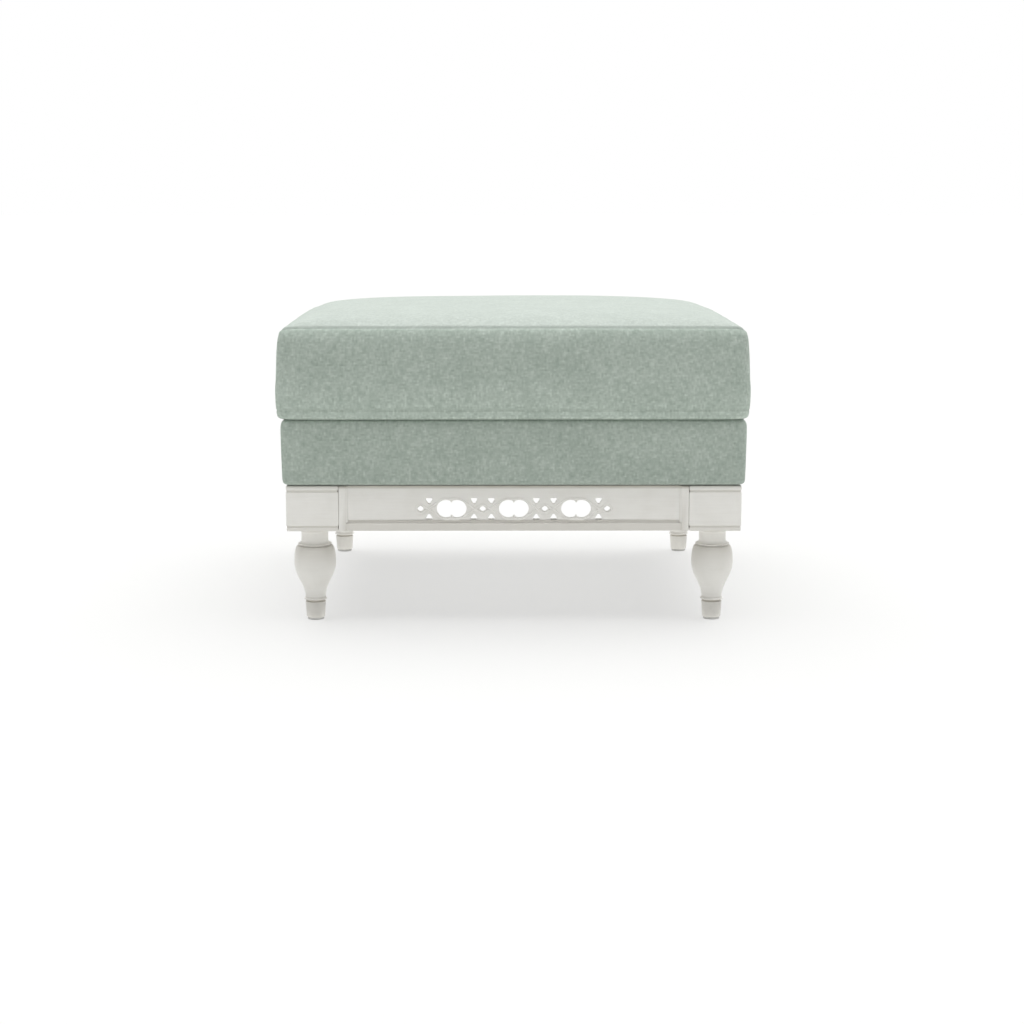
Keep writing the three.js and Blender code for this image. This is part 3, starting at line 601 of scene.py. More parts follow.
# section of the foot moulding: how far behind the face, how high above its foot
footMoulding = [
    (22, 0), (4.4, 0), (3.5, 0.35), (3.1, 1.2), (2.3, 4.0), (1.35, 7.4), (0.55, 10.2), (0.35, 10.9),
    (0.55, 11.35), (1.2, 11.5), (3.4, 11.6), (4.6, 12.4), (5.0, 13.6), (4.6, 15.0), (4.0, 16), (22, 16),
]
sides = {"front": 0, "right": 90, "rear": 180, "left": -90}


def prism(section, x0, x1):
    # a section of (depth, height) pairs run along X
    return solidBetween([(x0, d, h) for d, h in section], [(x1, d, h) for d, h in section])


post = {
    "centre": 300.0, "half": 39.0, "corner": 1.3,
    "cornerShare": 0.4, "cornerLeast": 0.5,       # how a corner gets sharper with the inset
    "levels": [  # inset, height above the plinth's foot and painted shade: two grooves run right round; below 0 at the top the painted shade along the plinth's top edge is held off
        (1.9, 0, 0.5), (1.2, 0.4, 0.35), (0.9, 1.0, 0.22), (0.4, 4.6, 0.22), (0.5, 5.0, 0.35),
        (1.1, 5.9, 0.5), (1.2, 7.2, 0.5), (0.4, 8.2, 0.3), (0, 8.7, 0),
        (0, 58.1, 0), (0.4, 58.6, 0.25), (1.1, 59.5, 0.5),
        (1.1, 61.0, 0.5), (0.4, 62.0, 0.3), (0.1, 62.4, 0), (0.1, 65.2, -0.5), (0.3, 66.9, -0.6),
        (0.7, 67.7, -0.6), (1.2, 68, -0.6),
    ],
    "fieldAcross": 30.5, "fieldFoot": 13.5, "fieldTop": 53.5,
    "fieldRise": 0.4, "fieldSlope": 1.4, "fieldSunk": 0.6,
}


def ringOf(half, corner, straight, arc):
    # a rounded square from the middle of its -X -Y corner, counter-clockwise
    side = []
    inner = half - corner
    for k in range(arc):
        a = math.radians(225 + 45 * k / arc)
        side.append((-inner + corner * math.cos(a), -inner + corner * math.sin(a)))
    for k in range(straight):
        side.append((-inner + 2 * inner * k / straight, -half))
    for k in range(arc):
        a = math.radians(270 + 45 * k / arc)
        side.append((inner + corner * math.cos(a), -inner + corner * math.sin(a)))
    spots = np.array(side)
    turned90 = [spots]
    for _ in range(3):
        last = turned90[-1]
        turned90.append(np.stack([-last[:, 1], last[:, 0]], 1))
    return np.concatenate(turned90)


def squareStack(p, arc=4):
    # rounded squares laid over each other, closed below and above
    verts = []
    for inset, height, _ in p["levels"]:
        corner = max(p["corner"] - inset * p["cornerShare"], p["cornerLeast"])
        verts += [(x, y, height) for x, y in ringOf(p["half"] - inset, corner, 1, arc)]
    count = len(verts) // len(p["levels"])
    faces = ringFaces(len(p["levels"]), count)
    faces.append(tuple(range(count))[::-1])
    faces.append(tuple(range(len(verts) - count, len(verts))))
    return verts, faces


def raisedField(p, degrees):
    # a very low plate on one face, its border sloped
    w, low, high = p["fieldAcross"], p["fieldFoot"], p["fieldTop"]
    s, out = p["fieldSlope"], -p["half"] - p["fieldRise"]
    back = -p["half"] + p["fieldSunk"]
    outer = [(-w, low), (w, low), (w, high), (-w, high)]
    inner = [(-w + s, low + s), (w - s, low + s), (w - s, high - s), (-w + s, high - s)]
    verts = [(x, back, z) for x, z in outer] + [(x, -p["half"], z) for x, z in outer]
    verts += [(x, out, z) for x, z in inner]
    faces = [(8, 9, 10, 11)] + [(4 + i, 4 + (i + 1) % 4, 8 + (i + 1) % 4, 8 + i) for i in range(4)]
    faces += [(i, (i + 1) % 4, 4 + (i + 1) % 4, 4 + i) for i in range(4)]
    return [tuple(v) for v in turnSpots(verts, degrees)], faces


def groovedPost(corner, sx, sy):
    p = post
    shapes = [squareStack(p)]
    shapes.append(raisedField(p, 0 if sy < 0 else 180))
    shapes.append(raisedField(p, 90 if sx > 0 else -90))
    verts, faces = joined(shapes)
    verts += (sx * p["centre"], sy * p["centre"], plinth["foot"])
    piece = addPiece(f"groovedPost_{corner}", verts * mm, faces, paint, "stool", [f"post_{corner}"])
    piece.data.set_sharp_from_angle(angle=math.radians(34))
    ringCount = len(shapes[0][0]) // len(p["levels"])
    # painted shade in the grooves and along the foot, held off at the top, from the levels' last column
    paintedShade = np.zeros(len(verts))
    paintedShade[:ringCount * len(p["levels"])] = np.repeat([level[2] for level in p["levels"]], ringCount)
    paintShading(piece, paintedShade)


def stileSlope(end, high):
    # the inner edge of a stile slopes back to the board, above the foot moulding
    p = plinth
    edge, foot = end * p["stile"], footMoulding[11][1]
    into, behind, under = p["slopeSunk"]
    sunk = edge + end * into
    section = [(sunk, behind), (edge - end * p["slope"], p["board"]), (sunk, p["board"])]
    verts = [(x, depth, z) for z in (foot, high - under) for x, depth in section]
    faces = [(0, 1, 2), (5, 4, 3), (0, 3, 4, 1), (1, 4, 5, 2), (2, 5, 3, 0)]
    return verts, faces


def apronFrame(side, degrees):
    p = plinth
    high = p["top"] - p["foot"]
    stile = [(0, 0), (p["thickness"], 0), (p["thickness"], high)]
    stile += [(depth, high - drop) for depth, drop in p["stileTop"]]
    half = p["stile"] + p["overlap"]
    shapes = [prism(footMoulding, -half, half)]
    for x0, x1 in ((-p["joint"], -p["stile"]), (p["stile"], p["joint"])):
        shapes.append(prism(stile[::-1], x0, x1))
    shapes += [stileSlope(-1, high), stileSlope(1, high)]
    verts, faces = joined(shapes)
    verts[:, 1] -= p["apronFace"]
    verts[:, 2] += p["foot"]
    piece = addPiece(f"apronFrame_{side}", turnSpots(verts * mm, degrees), faces, paint, "stool",
                     [f"apron_{side}"])
    faceOutward(piece)
    easeEdges(piece, p["arris"] * mm, 2, 40)
    # painted shade on the foot moulding: its band, its foot and the ledge above it
    spots = turnSpots(spotsOf(piece.data), -degrees) / mm
    proud = -p["apronFace"] - spots[:, 1]
    up = spots[:, 2] - p["foot"]
    inBand = np.abs(spots[:, 0]) < p["shadedHalf"]
    onLedge = inBand & (up > p["bandTop"]) & (up < p["ledgeTop"]) & (proud < -p["ledgeDepth"])
    onFoot = inBand & (up < p["footEdge"])
    onBand = inBand & (up < p["bandTop"])
    shares = [p["ledgeShade"], p["footShade"], p["bandShade"]]
    paintShading(piece, np.select([onLedge, onFoot, onBand], shares, 0))


fret = {
    "half": 249.7, "foot": 156.3, "top": 208.0,
    "face": 335.0, "thickness": 9.0, "arris": 0.5, "weld": 0.002,
    "middle": 173.0, "pitch": 92.8, "count": 3,
    "lobeWide": 14.1, "lobeHigh": 13.6, "lobeOut": 8.2,
    "knobHalf": 1.5, "knobTip": 9.8, "knobShares": (0.9, 0.5), "knobRound": 0.1,
    "petal": 4.3, "petalOut": 33.5, "petalUp": 12.7,
    "eye": 4.1,
    "petalShape": (3, 0.19, 1.08), "eyeShape": (4, 0.07, 1.1),   # corners, their swell and the width
}


def lobeHole(x):
    # two ovals run together, clockwise, with a small knob where they meet above and below
    f = fret
    meet = math.acos((f["knobHalf"] - f["lobeOut"]) / f["lobeWide"])
    shoulder = f["lobeHigh"] * math.sin(meet)
    sweep = np.linspace(meet, -meet, 40)
    right = [(f["lobeOut"] + f["lobeWide"] * math.cos(a), f["lobeHigh"] * math.sin(a)) for a in sweep]
    tip, low = f["knobTip"], f["knobTip"] + f["knobRound"]
    wide, narrow = (f["knobHalf"] * share for share in f["knobShares"])
    waist = (shoulder + tip) / 2
    half = right + [(wide, -waist), (narrow, -low), (0, -tip), (-narrow, -low), (-wide, -waist)]
    return [(x + px, pz) for px, pz in half] + [(x - px, -pz) for px, pz in half]


def swelledHole(x, z, size, shape, first, steps=30):
    # a round hole drawn out to a few corners
    count, swell, wide = shape
    spots = []
    for i in range(steps):
        a = first - 2 * math.pi * i / steps
        reach = size * (1 + swell * math.cos(count * (a - first)))
        spots.append((x + wide * reach * math.cos(a), z + reach * math.sin(a)))
    return spots


def fretOutlines():
    f = fret
    outer = [(-f["half"], f["foot"] - f["middle"]), (f["half"], f["foot"] - f["middle"]),
             (f["half"], f["top"] - f["middle"]), (-f["half"], f["top"] - f["middle"])]
    outlines = [outer]
    first = -(f["count"] - 1) / 2 * f["pitch"]
    for k in range(f["count"]):
        x = first + k * f["pitch"]
        outlines.append(lobeHole(x))
        for across in (-1, 1):
            for up in (-1, 1):
                outX, outZ = x + across * f["petalOut"], up * f["petalUp"]
                outlines.append(swelledHole(outX, outZ, f["petal"], f["petalShape"], -up * math.pi / 2))
    for k in range(f["count"] + 1):
        outlines.append(swelledHole(first + (k - 0.5) * f["pitch"], 0, f["eye"], f["eyeShape"], 0))
    return outlines


def fretBoard(side, degrees):
    f = fret
    board = bpy.data.curves.new("fretDrawing", "CURVE")
    board.dimensions = "2D"
    board.fill_mode = "BOTH"
    board.extrude = (f["thickness"] / 2 - f["arris"]) * mm
    board.bevel_depth = f["arris"] * mm
    board.bevel_resolution = 2
    board.offset = -f["arris"] * mm
    for outline in fretOutlines():
        line = board.splines.new("POLY")
        line.points.add(len(outline) - 1)
        for point, (x, z) in zip(line.points, outline):
            point.co = (x * mm, z * mm, 0, 1)
        line.use_cyclic_u = True
    drawing = linked("fretDrawing", board)
    graph = bpy.context.evaluated_depsgraph_get()
    cutOut = drawing.evaluated_get(graph).to_mesh()
    flat = spotsOf(cutOut)
    faces = [tuple(p.vertices) for p in cutOut.polygons]
    bpy.data.objects.remove(drawing)
    spots = np.stack([flat[:, 0], flat[:, 2] - (f["face"] - f["thickness"] / 2) * mm,
                      flat[:, 1] + f["middle"] * mm], 1)
    piece = addPiece(f"fretBoard_{side}", turnSpots(spots, degrees), faces, paint, "stool",
                     [f"fret_panel_{side}"])
    faceOutward(piece, f["weld"] * mm)
    piece.data.shade_smooth()
    level = piece.modifiers.new("flats", "WEIGHTED_NORMAL")
    level.weight = 90
    settle(piece)


strap = {
    "half": 1.6, "rise": 1.25, "weave": 0.5, "step": 1.1, "darkening": 0.5,
    "lobePath": 15.3, "eyePath": 6.3,
    "crossing": 35.4, "crossingSpan": 4.0,
    "section": [  # across and up, in shares of the half width and the rise
        (-1, -0.9), (-0.97, 0.4), (-0.8, 0.8), (-0.45, 1), (0.45, 1), (0.8, 0.8), (0.97, 0.4), (1, -0.9),
    ],
}


def strapPath():
    # half a strand: over a lobed opening, down a tangent and under the next eye
    eyeOut = fret["pitch"] / 2
    big, small = strap["lobePath"], strap["eyePath"]
    lean = math.asin((big + small) / (eyeOut - fret["lobeOut"]))
    over = [(fret["lobeOut"] + big * math.sin(a), big * math.cos(a)) for a in np.linspace(0, lean, 12)]
    under = [(eyeOut - small * math.sin(a), -small * math.cos(a)) for a in np.linspace(lean, 0, 10)]
    return np.array([(0.0, big)] + over + under)


def denser(line, step):
    run = runAlong(line)
    marks = np.linspace(0, run[-1], int(run[-1] / step) + 1)
    return np.stack([np.interp(marks, run, line[:, 0]), np.interp(marks, run, line[:, 1])], 1)


def strandLine(strand):
    # one strand from end to end, closed round the last eye at each end
    f = fret
    half = strapPath()
    whole = np.concatenate([half[::-1][:-1] * (-1, 1), half])
    line = []
    for k in range(f["count"]):
        x = (k - (f["count"] - 1) / 2) * f["pitch"]
        line += [(px + x, py * strand) for px, py in whole[(1 if k else 0):]]
    endX = (f["count"] / 2) * f["pitch"]
    turn = [(math.sin(a), -math.cos(a)) for a in np.linspace(0.15, math.pi / 2, 8)]
    tail = [(endX + strap["eyePath"] * sx, strand * strap["eyePath"] * sy) for sx, sy in turn]
    head = [(-x, z) for x, z in tail[::-1]]
    return denser(np.array(head + line + tail), strap["step"])


def strapwork(side, degrees):
    # two strands run the length of the row, crossing between each opening and eye
    f, n = fret, len(strap["section"])
    pieces = []
    for strand in (1, -1):
        line = strandLine(strand)
        away = unit(np.gradient(line, axis=0))
        beside = np.stack([-away[:, 1], away[:, 0]], 1) * strap["half"]
        local = (line[:, 0] + f["pitch"] / 2) % f["pitch"] - f["pitch"] / 2
        near = np.exp(-((np.abs(local) - strap["crossing"]) / strap["crossingSpan"]) ** 2)
        lift = strap["weave"] * near * np.where(local > 0, 1, -1) * strand
        verts = []
        for spot, out, up in zip(line, beside, lift):
            for across, rise in strap["section"]:
                x, z = spot + out * across
                verts.append((x, -f["face"] - rise * strap["rise"] - up, z + f["middle"]))
        faces = [(a, a + 1, a + n + 1, a + n) for i in range(len(line) - 1)
                 for a in range(i * n, i * n + n - 1)]
        pieces.append((verts, faces))
    verts, faces = joined(pieces)
    piece = addPiece(f"strapwork_{side}", turnSpots(verts * mm, degrees), faces, paint, "stool")
    # painted shade on the strands' sides, most where they meet the board
    rise = (-f["face"] - verts[:, 1]) / strap["rise"]
    paintShading(piece, np.clip(strap["darkening"] - rise, 0, strap["darkening"]))


for corner, (sx, sy) in corners.items():
    groovedPost(corner, sx, sy)
for side, degrees in sides.items():
    apronFrame(side, degrees)
    fretBoard(side, degrees)
    strapwork(side, degrees)
print("plinth joined and pierced")


# upholstery: skins built in rings, so that the seams and the weave run true
def panelGrid(ring, n):
    # a square patch of (n + 1) x (n + 1) spots whose edge is the ring
    grid = np.zeros((n + 1, n + 1, 3))
    idx = -np.ones((n + 1, n + 1), int)
    for k in range(n):
        grid[k, 0], idx[k, 0] = ring[k], k
        grid[n, k], idx[n, k] = ring[n + k], n + k
        grid[n - k, n], idx[n - k, n] = ring[2 * n + k], 2 * n + k
        grid[0, n - k], idx[0, n - k] = ring[3 * n + k], 3 * n + k
    run = runAlong(grid[:, 0])
    share = run / run[-1]
    for i in range(1, n):
        for j in range(1, n):
            u, v = share[i], share[j]
            grid[i, j] = ((1 - v) * grid[i, 0] + v * grid[i, n] + (1 - u) * grid[0, j] + u * grid[n, j]
                          - (1 - u) * (1 - v) * grid[0, 0] - u * (1 - v) * grid[n, 0]
                          - (1 - u) * v * grid[0, n] - u * v * grid[n, n])
    return grid, idx, share


def skinRings(spec):
    # each level is a rounded square; the section may change past the corners, towards the sides
    plain = [level[:2] for level in spec["levels"]]
    sideLevels = spec.get("sideLevels", [])
    begins, ends = spec["turn"]
    verts = []
    for atFront, atSide in zip(plain, plain[:len(plain) - len(sideLevels)] + sideLevels):
        rings = []
        for inset, height in (atFront, atSide):
            corner = max(spec["corner"] - inset * spec["cornerShare"] * mm, spec["cornerLeast"])
            ring = ringOf(spec["half"] - inset * mm, corner, spec["straight"], spec["arc"])
            rings.append(np.column_stack([ring, np.full(len(ring), spec["foot"] + height * mm)]))
        pastCorner = (np.abs(rings[0][:, 0]) - np.abs(rings[0][:, 1])) / mm
        toSide = np.clip((pastCorner - begins) / (ends - begins), 0, 1)
        toSide = (toSide * toSide * (3 - 2 * toSide))[:, None]
        verts += [tuple(spot) for spot in rings[0] * (1 - toSide) + rings[1] * toSide]
    return verts


def wallUvs(spec, count):
    # the weave runs along the rings, and up by the section's own length
    outer = ringOf(spec["half"], spec["corner"], spec["straight"], spec["arc"])
    run = runAlong(np.concatenate([outer, outer[:1]]))
    plain = [level[:2] for level in spec["levels"]]
    climbed = np.cumsum([0] + [math.dist(a, b) for a, b in zip(plain, plain[1:])]) * mm
    return [((run[i], low), (run[i + 1], low), (run[i + 1], high), (run[i], high))
            for low, high in zip(climbed, climbed[1:]) for i in range(count)]


def upholsteredSkin(spec, crown):
    n = spec["straight"] + 2 * spec["arc"]
    count = 4 * n
    levels = spec["levels"]
    verts = skinRings(spec)
    faces = ringFaces(len(levels), count)
    uvs = wallUvs(spec, count)
    for isTop in (False, True):
        level = len(levels) - 1 if isTop else 0
        grid, idx, share = panelGrid(np.array(verts[level * count:(level + 1) * count]), n)
        idx[idx >= 0] += level * count
        flat = spec["foot"] + levels[level][1] * mm
        for i in range(1, n):
            for j in range(1, n):
                idx[i, j] = len(verts)
                x, y, edgeHigh = grid[i, j]
                inside = 2 * spec["half"] * min(share[i], 1 - share[i], share[j], 1 - share[j])
                rise = crown(x, y) if isTop else 0
                verts.append((x, y, flat + rise + (edgeHigh - flat) * math.exp(-inside / spec["settling"])))
        for i in range(n):
            for j in range(n):
                around = ((i, j), (i + 1, j), (i + 1, j + 1), (i, j + 1))
                face = tuple(idx[a, b] for a, b in around)
                spots = tuple((float(grid[a, b][0]), float(grid[a, b][1])) for a, b in around)
                faces.append(face if isTop else face[::-1])
                uvs.append(spots if isTop else spots[::-1])
    return np.array(verts), faces, uvs, count


def sectionShading(spec, count, total):
    marks = np.zeros(total)
    section = np.repeat([level[2] for level in spec["levels"]], count)
    marks[:len(section)] = section
    return marks


def layUvs(piece, uvs):
    layer = piece.data.uv_layers.new(name="cloth")
    flat = np.array([spot for face in uvs for spot in face], float).ravel()
    layer.data.foreach_set("uv", flat)


def puffUp(piece, held, freedom, spec):
    # pressure from inside swells the cover between its seams; each move is capped and dies at them
    before = spotsOf(piece.data)
    group = piece.vertex_groups.new(name="sewnDown")
    group.add([int(i) for i in held], 1.0, "REPLACE")
    swell = piece.modifiers.new("swell", "CLOTH")
    for setting, value in spec["cloth"].items():
        setattr(swell.settings, setting, value)
    swell.settings.effector_weights.gravity = 0
    swell.collision_settings.use_collision = False
    for moment in range(1, spec["frames"] + 1):
        scene.frame_set(moment)
    graph = bpy.context.evaluated_depsgraph_get()
    after = spotsOf(piece.evaluated_get(graph).data)
    piece.modifiers.remove(swell)
    scene.frame_set(1)
    move = after - before
    reach = np.linalg.norm(move, axis=1)[:, None]
    move *= freedom[:, None] * spec["cap"] * mm / (spec["cap"] * mm + reach)
    kept = np.linalg.norm(move, axis=1).max() / mm
    print("swell: largest free move %.1f mm, kept %.1f mm" % (reach.max() / mm, kept))
    moveSpots(piece, before + move)


def ripple(c, spots, lean, fromSeam):
    # small puckers that fade away from a seam
    moved = np.array(spots)
    for i, (spot, out, far) in enumerate(zip(spots, lean, fromSeam)):
        if far < c["puckersEnd"]:
            value = noise.noise(Vector(spot) / c["puckerLength"] + Vector((4, 4, 0)))
            moved[i] += out * value * c["puckerDepth"] * math.exp(-far / c["puckerFade"])
    return moved


cushion = {
    "foot": 308.3 * mm, "half": 350 * mm,
    "corner": 17 * mm, "cornerShare": 0.6, "cornerLeast": 3 * mm,
    "straight": 74, "arc": 4,
    "crown": 11.0, "pillow": 5.1, "pillowReach": 13.0,
    "dune": 1.0, "duneScale": 5.1, "duneReach": 60 * mm,   # slow unevenness of the top, none at its edge
    "askew": (1.1, 2.0),          # it lies a little to the left, more so at the back
    "droop": 7.5, "frontDroop": 0.8, "droopReach": 115.0, "droopCentre": 337 * mm, "topEdge": 137 * mm,
    "seamHeight": 132.5 * mm, "seamHalf": 336 * mm, "hemHeight": 13 * mm,
    "levels": [  # inset, height and painted shading of the cover's section, from under the foot up to the crown: painted shade round the top seam, painted light below 0 on the hem, the lower sides and just under the seam
        (12, 0.3, 0), (6.5, -0.3, 0), (3.0, -0.2, 0), (0.7, 0.8, -0.2), (-0.3, 2.4, -0.6), (-0.5, 4.2, -0.7),
        (-0.3, 5.2, -0.6), (0.0, 6.1, -0.4), (-0.3, 7.2, -0.6), (-0.4, 8.6, -0.6), (-0.3, 10.2, -0.6),
        (0.0, 11.7, -0.5), (0.6, 13.0, -0.2), (0.1, 14.3, -0.4), (-0.4, 16, -0.5), (-0.9, 20, -0.45),
        (-1.1, 28, -0.35), (-1.0, 38, -0.25), (-0.7, 48, -0.15), (0.0, 57.2, -0.1), (0.1, 58.2, -0.1),
        (0.2, 59.4, -0.1), (0.6, 68, -0.05),
        (1.0, 76.6, 0), (1.1, 77.8, 0), (1.2, 79.0, 0), (1.4, 88, 0), (1.8, 98, 0), (2.4, 107, 0),
        (3.2, 114.5, 0), (4.1, 119.2, -0.05), (5.3, 123.4, -0.15), (6.8, 127.2, -0.3), (8.5, 130.3, -0.4),
        (10.0, 132.2, -0.4), (11.2, 133.2, -0.35), (12.1, 133.6, -0.15), (12.9, 133.4, 0.3),
        (13.5, 132.8, 0.9), (14.1, 133.5, 0.5), (14.9, 134.4, 0.6), (16.0, 135.3, 0.75),
        (17.6, 136.4, 0.75), (19.8, 137.6, 0.5),
    ],
    "sideLevels": [  # inset and height of the last of them at the left and right, where the seam lies lower
        (2.9, 114.5), (3.4, 119.2), (4.0, 122.6), (4.5, 125.2), (4.9, 127.0), (5.3, 128.3), (5.7, 129.1),
        (6.2, 129.5), (6.7, 129.5), (7.2, 129.1), (7.8, 130.1), (8.5, 131.2), (9.4, 132.3), (10.8, 133.6),
        (13.0, 135.0),
    ],
    "turn": (-12, 18),            # where the seam goes down, before and after a corner
    "seams": (6.1, 13.0, 132.8),  # heights of the sewn lines in that section
    "sewnUnder": 3,               # levels under the foot that are sewn down as well
    "settling": 9 * mm,           # how soon the panels leave the height of their edge
    "footPull": 4.0, "footPullHigh": 15.0, "footPullReach": 26.0,  # corners drawn in at the foot
    "puckerDepth": 0.9 * mm, "puckerLength": 15 * mm, "puckerFade": 12 * mm, "puckersEnd": 45 * mm,
    "uprightFrom": 328 * mm, "uprightTo": 344 * mm,        # where puckers turn from the top to the sides
    "frames": 16, "cap": 1.5, "freeFrom": 9 * mm,
    "cloth": {  # the solver's own names
        "quality": 5, "mass": 0.25, "tension_stiffness": 18, "compression_stiffness": 18,
        "shear_stiffness": 6, "bending_stiffness": 0.6, "use_pressure": True,
        "uniform_pressure_force": 3.5, "vertex_group_mass": "sewnDown", "shrink_min": -0.006,
    },
    # the zip in the back: heights and half width of the cloth held still, and of the flat channel
    "zipHeld": (55, 82, 290 * mm), "channel": (58.5, 77.5, 270.5 * mm), "channelFloor": 344.9 * mm,
}


def skewAt(y):
    near, far = cushion["askew"]
    return (near + far * (0.5 + y / (2 * cushion["half"]))) * mm


def cushionCrown(x, y):
    c = cushion
    edge = c["half"] - c["levels"][-1][0] * mm
    fall = (1 - min(abs(x) / edge, 1) ** 4) * (1 - min(abs(y) / edge, 1) ** 4)
    far = max(edge - max(abs(x), abs(y)), 0)
    dune = noise.noise(Vector((x, y, 0)) * c["duneScale"] + Vector((0, 0, 3.3)))
    dune *= c["dune"] * min(far / c["duneReach"], 1)
    return (c["crown"] * fall + c["pillow"] * (1 - math.exp(-far / (c["pillowReach"] * mm))) + dune) * mm


def nearZip(c, verts, count, low, high, half):
    # on the back of the cushion, between two heights and within a half width of the middle
    rows = [row for row, level in enumerate(c["levels"]) if low < level[1] < high]
    return [i for row in rows for i in range(row * count, (row + 1) * count)
            if verts[i][1] > 0 and abs(verts[i][0]) < half]


def sewnDown(c, verts, count):
    # what the pressure leaves in place: the foot, the sewn lines, the underside and the cloth round the zip
    total = len(c["levels"]) * count
    held = list(range(total, total + (len(verts) - total) // 2))
    for row, level in enumerate(c["levels"]):
        if row < c["sewnUnder"] or level[1] in c["seams"]:
            held += range(row * count, (row + 1) * count)
    return held + nearZip(c, verts, count, *c["zipHeld"])


def dropCorners(c, spots):
    # the foot is drawn in a little at the upright corners, and the top corners droop
    rise = spots[:, 2] - c["foot"]
    low = np.clip(1 - rise / (c["footPullHigh"] * mm), 0, 1) ** 2
    toCorner = np.hypot(np.abs(spots[:, 0]) - c["half"], np.abs(spots[:, 1]) - c["half"])
    pull = c["footPull"] * mm * low * np.exp(-(toCorner / (c["footPullReach"] * mm)) ** 2)
    spots[:, :2] -= np.sign(spots[:, :2]) * pull[:, None]
    high = np.clip(rise / c["topEdge"], 0, 1) ** 2
    for sy, drop in ((1, c["droop"]), (-1, c["frontDroop"])):
        for sx in (-1, 1):
            away = np.hypot(spots[:, 0] - sx * c["droopCentre"], spots[:, 1] - sy * c["droopCentre"])
            spots[:, 2] -= drop * mm * np.exp(-(away / (c["droopReach"] * mm)) ** 1.3) * high


def smoothOnce(piece):
    finer = piece.modifiers.new("finer", "SUBSURF")
    finer.levels = finer.render_levels = 1
    settle(piece)


def makeCushion():
    c = cushion
    verts, faces, uvs, count = upholsteredSkin(c, cushionCrown)
    piece = addPiece("boxCushion", verts, faces, sage, "cushion",
                     ["cushion_cover", "cushion_core", "cushion_topper"])
    layUvs(piece, uvs)
    rise = verts[:, 2] - c["foot"]
    edge = np.maximum(np.abs(verts[:, 0]), np.abs(verts[:, 1]))
    fromSeam = np.hypot(rise - c["seamHeight"], np.maximum(c["seamHalf"] - edge, 0))
    fromHem = np.abs(rise - c["hemHeight"])
    freedom = 1 - np.exp(-np.minimum(fromSeam, fromHem) / c["freeFrom"])
    puffUp(piece, sewnDown(c, verts, count), freedom, c)
    spots = spotsOf(piece.data)
    spots[nearZip(c, verts, count, *c["channel"]), 1] = c["channelFloor"]
    outward = unit(spots * (1, 1, 0))
    upright = np.clip((edge - c["uprightFrom"]) / (c["uprightTo"] - c["uprightFrom"]), 0, 1)[:, None]
    spots = ripple(c, spots, outward * upright + np.array([0, 0, 1.0]) * (1 - upright), fromSeam)
    dropCorners(c, spots)
    spots[:, 0] -= skewAt(spots[:, 1])
    moveSpots(piece, spots)
    paintShading(piece, sectionShading(c, count, len(verts)))
    smoothOnce(piece)


seatBox = {
    "foot": 209.4 * mm, "half": 345 * mm,
    "corner": 11 * mm, "cornerShare": 0.6, "cornerLeast": 3 * mm,
    "straight": 60, "arc": 4,
    "turn": (0, 1), "settling": 9 * mm,
    # inset, height and painted shading: a little painted shade just under the top edge and much in the deck's
    # furrow, painted light below 0 on the rounded top edge
    "levels": [
        (28, 0.3, 0), (12, 0.2, 0), (6.0, 0.5, 0), (3.1, 1.8, 0), (1.6, 4.2, 0), (0.9, 7.5, 0), (0.6, 14, 0),
        (0.4, 24, 0), (0.1, 36, 0), (-0.2, 48, 0), (-0.4, 60, 0), (-0.6, 72, 0), (-0.7, 80, 0.05),
        (-0.6, 87, 0.05), (-0.1, 90.8, -0.15), (1.1, 94.1, -0.55), (3.1, 96.6, -0.5), (5.8, 98.1, -0.2),
        (9.0, 98.6, 0), (16, 98.6, 0), (40, 98.3, 0), (54, 98.4, 0), (56.6, 98.1, 0.1), (57.8, 97.2, 1),
        (59.0, 98.1, 0.1), (62, 98.4, 0),
    ],
    "waves": 0.45 * mm, "waveScale": 9, "wavesEnd": 97 * mm,   # the sides are never quite flat
}


def makeSeatBox():
    s = seatBox
    verts, faces, uvs, count = upholsteredSkin(s, lambda x, y: 0)
    outward = unit(verts * (1, 1, 0))
    spots = np.array(verts)
    for i, spot in enumerate(verts):
        if spot[2] < s["foot"] + s["wavesEnd"]:
            wave = noise.noise(Vector(spot) * s["waveScale"] + Vector((8.1, 0, 0)))
            spots[i] += outward[i] * wave * s["waves"]
    piece = addPiece("seatBoxUpholstery", spots, faces, sage, "stool",
                     ["seat_box_cover", "edge_foam", "deck_foam"])
    layUvs(piece, uvs)
    paintShading(piece, sectionShading(s, count, len(verts)))
    smoothOnce(piece)


makeCushion()
makeSeatBox()
print("upholstery sewn")

# stitching along the cushion's hem and round the deck under it
stitch = {
    "pitch": 4.2, "length": 2.9, "thick": 0.55, "proud": 0.15,
    "swell": (0.25, 0.9, 1.0, 0.9, 0.25),     # thickness from end to end
    "sides": 6, "straight": 74, "arc": 6,
}
hemRow = {"half": 350.45, "corner": 17, "height": 323.6}
deckRow = {"half": 284.8, "corner": 3, "height": 307.75}


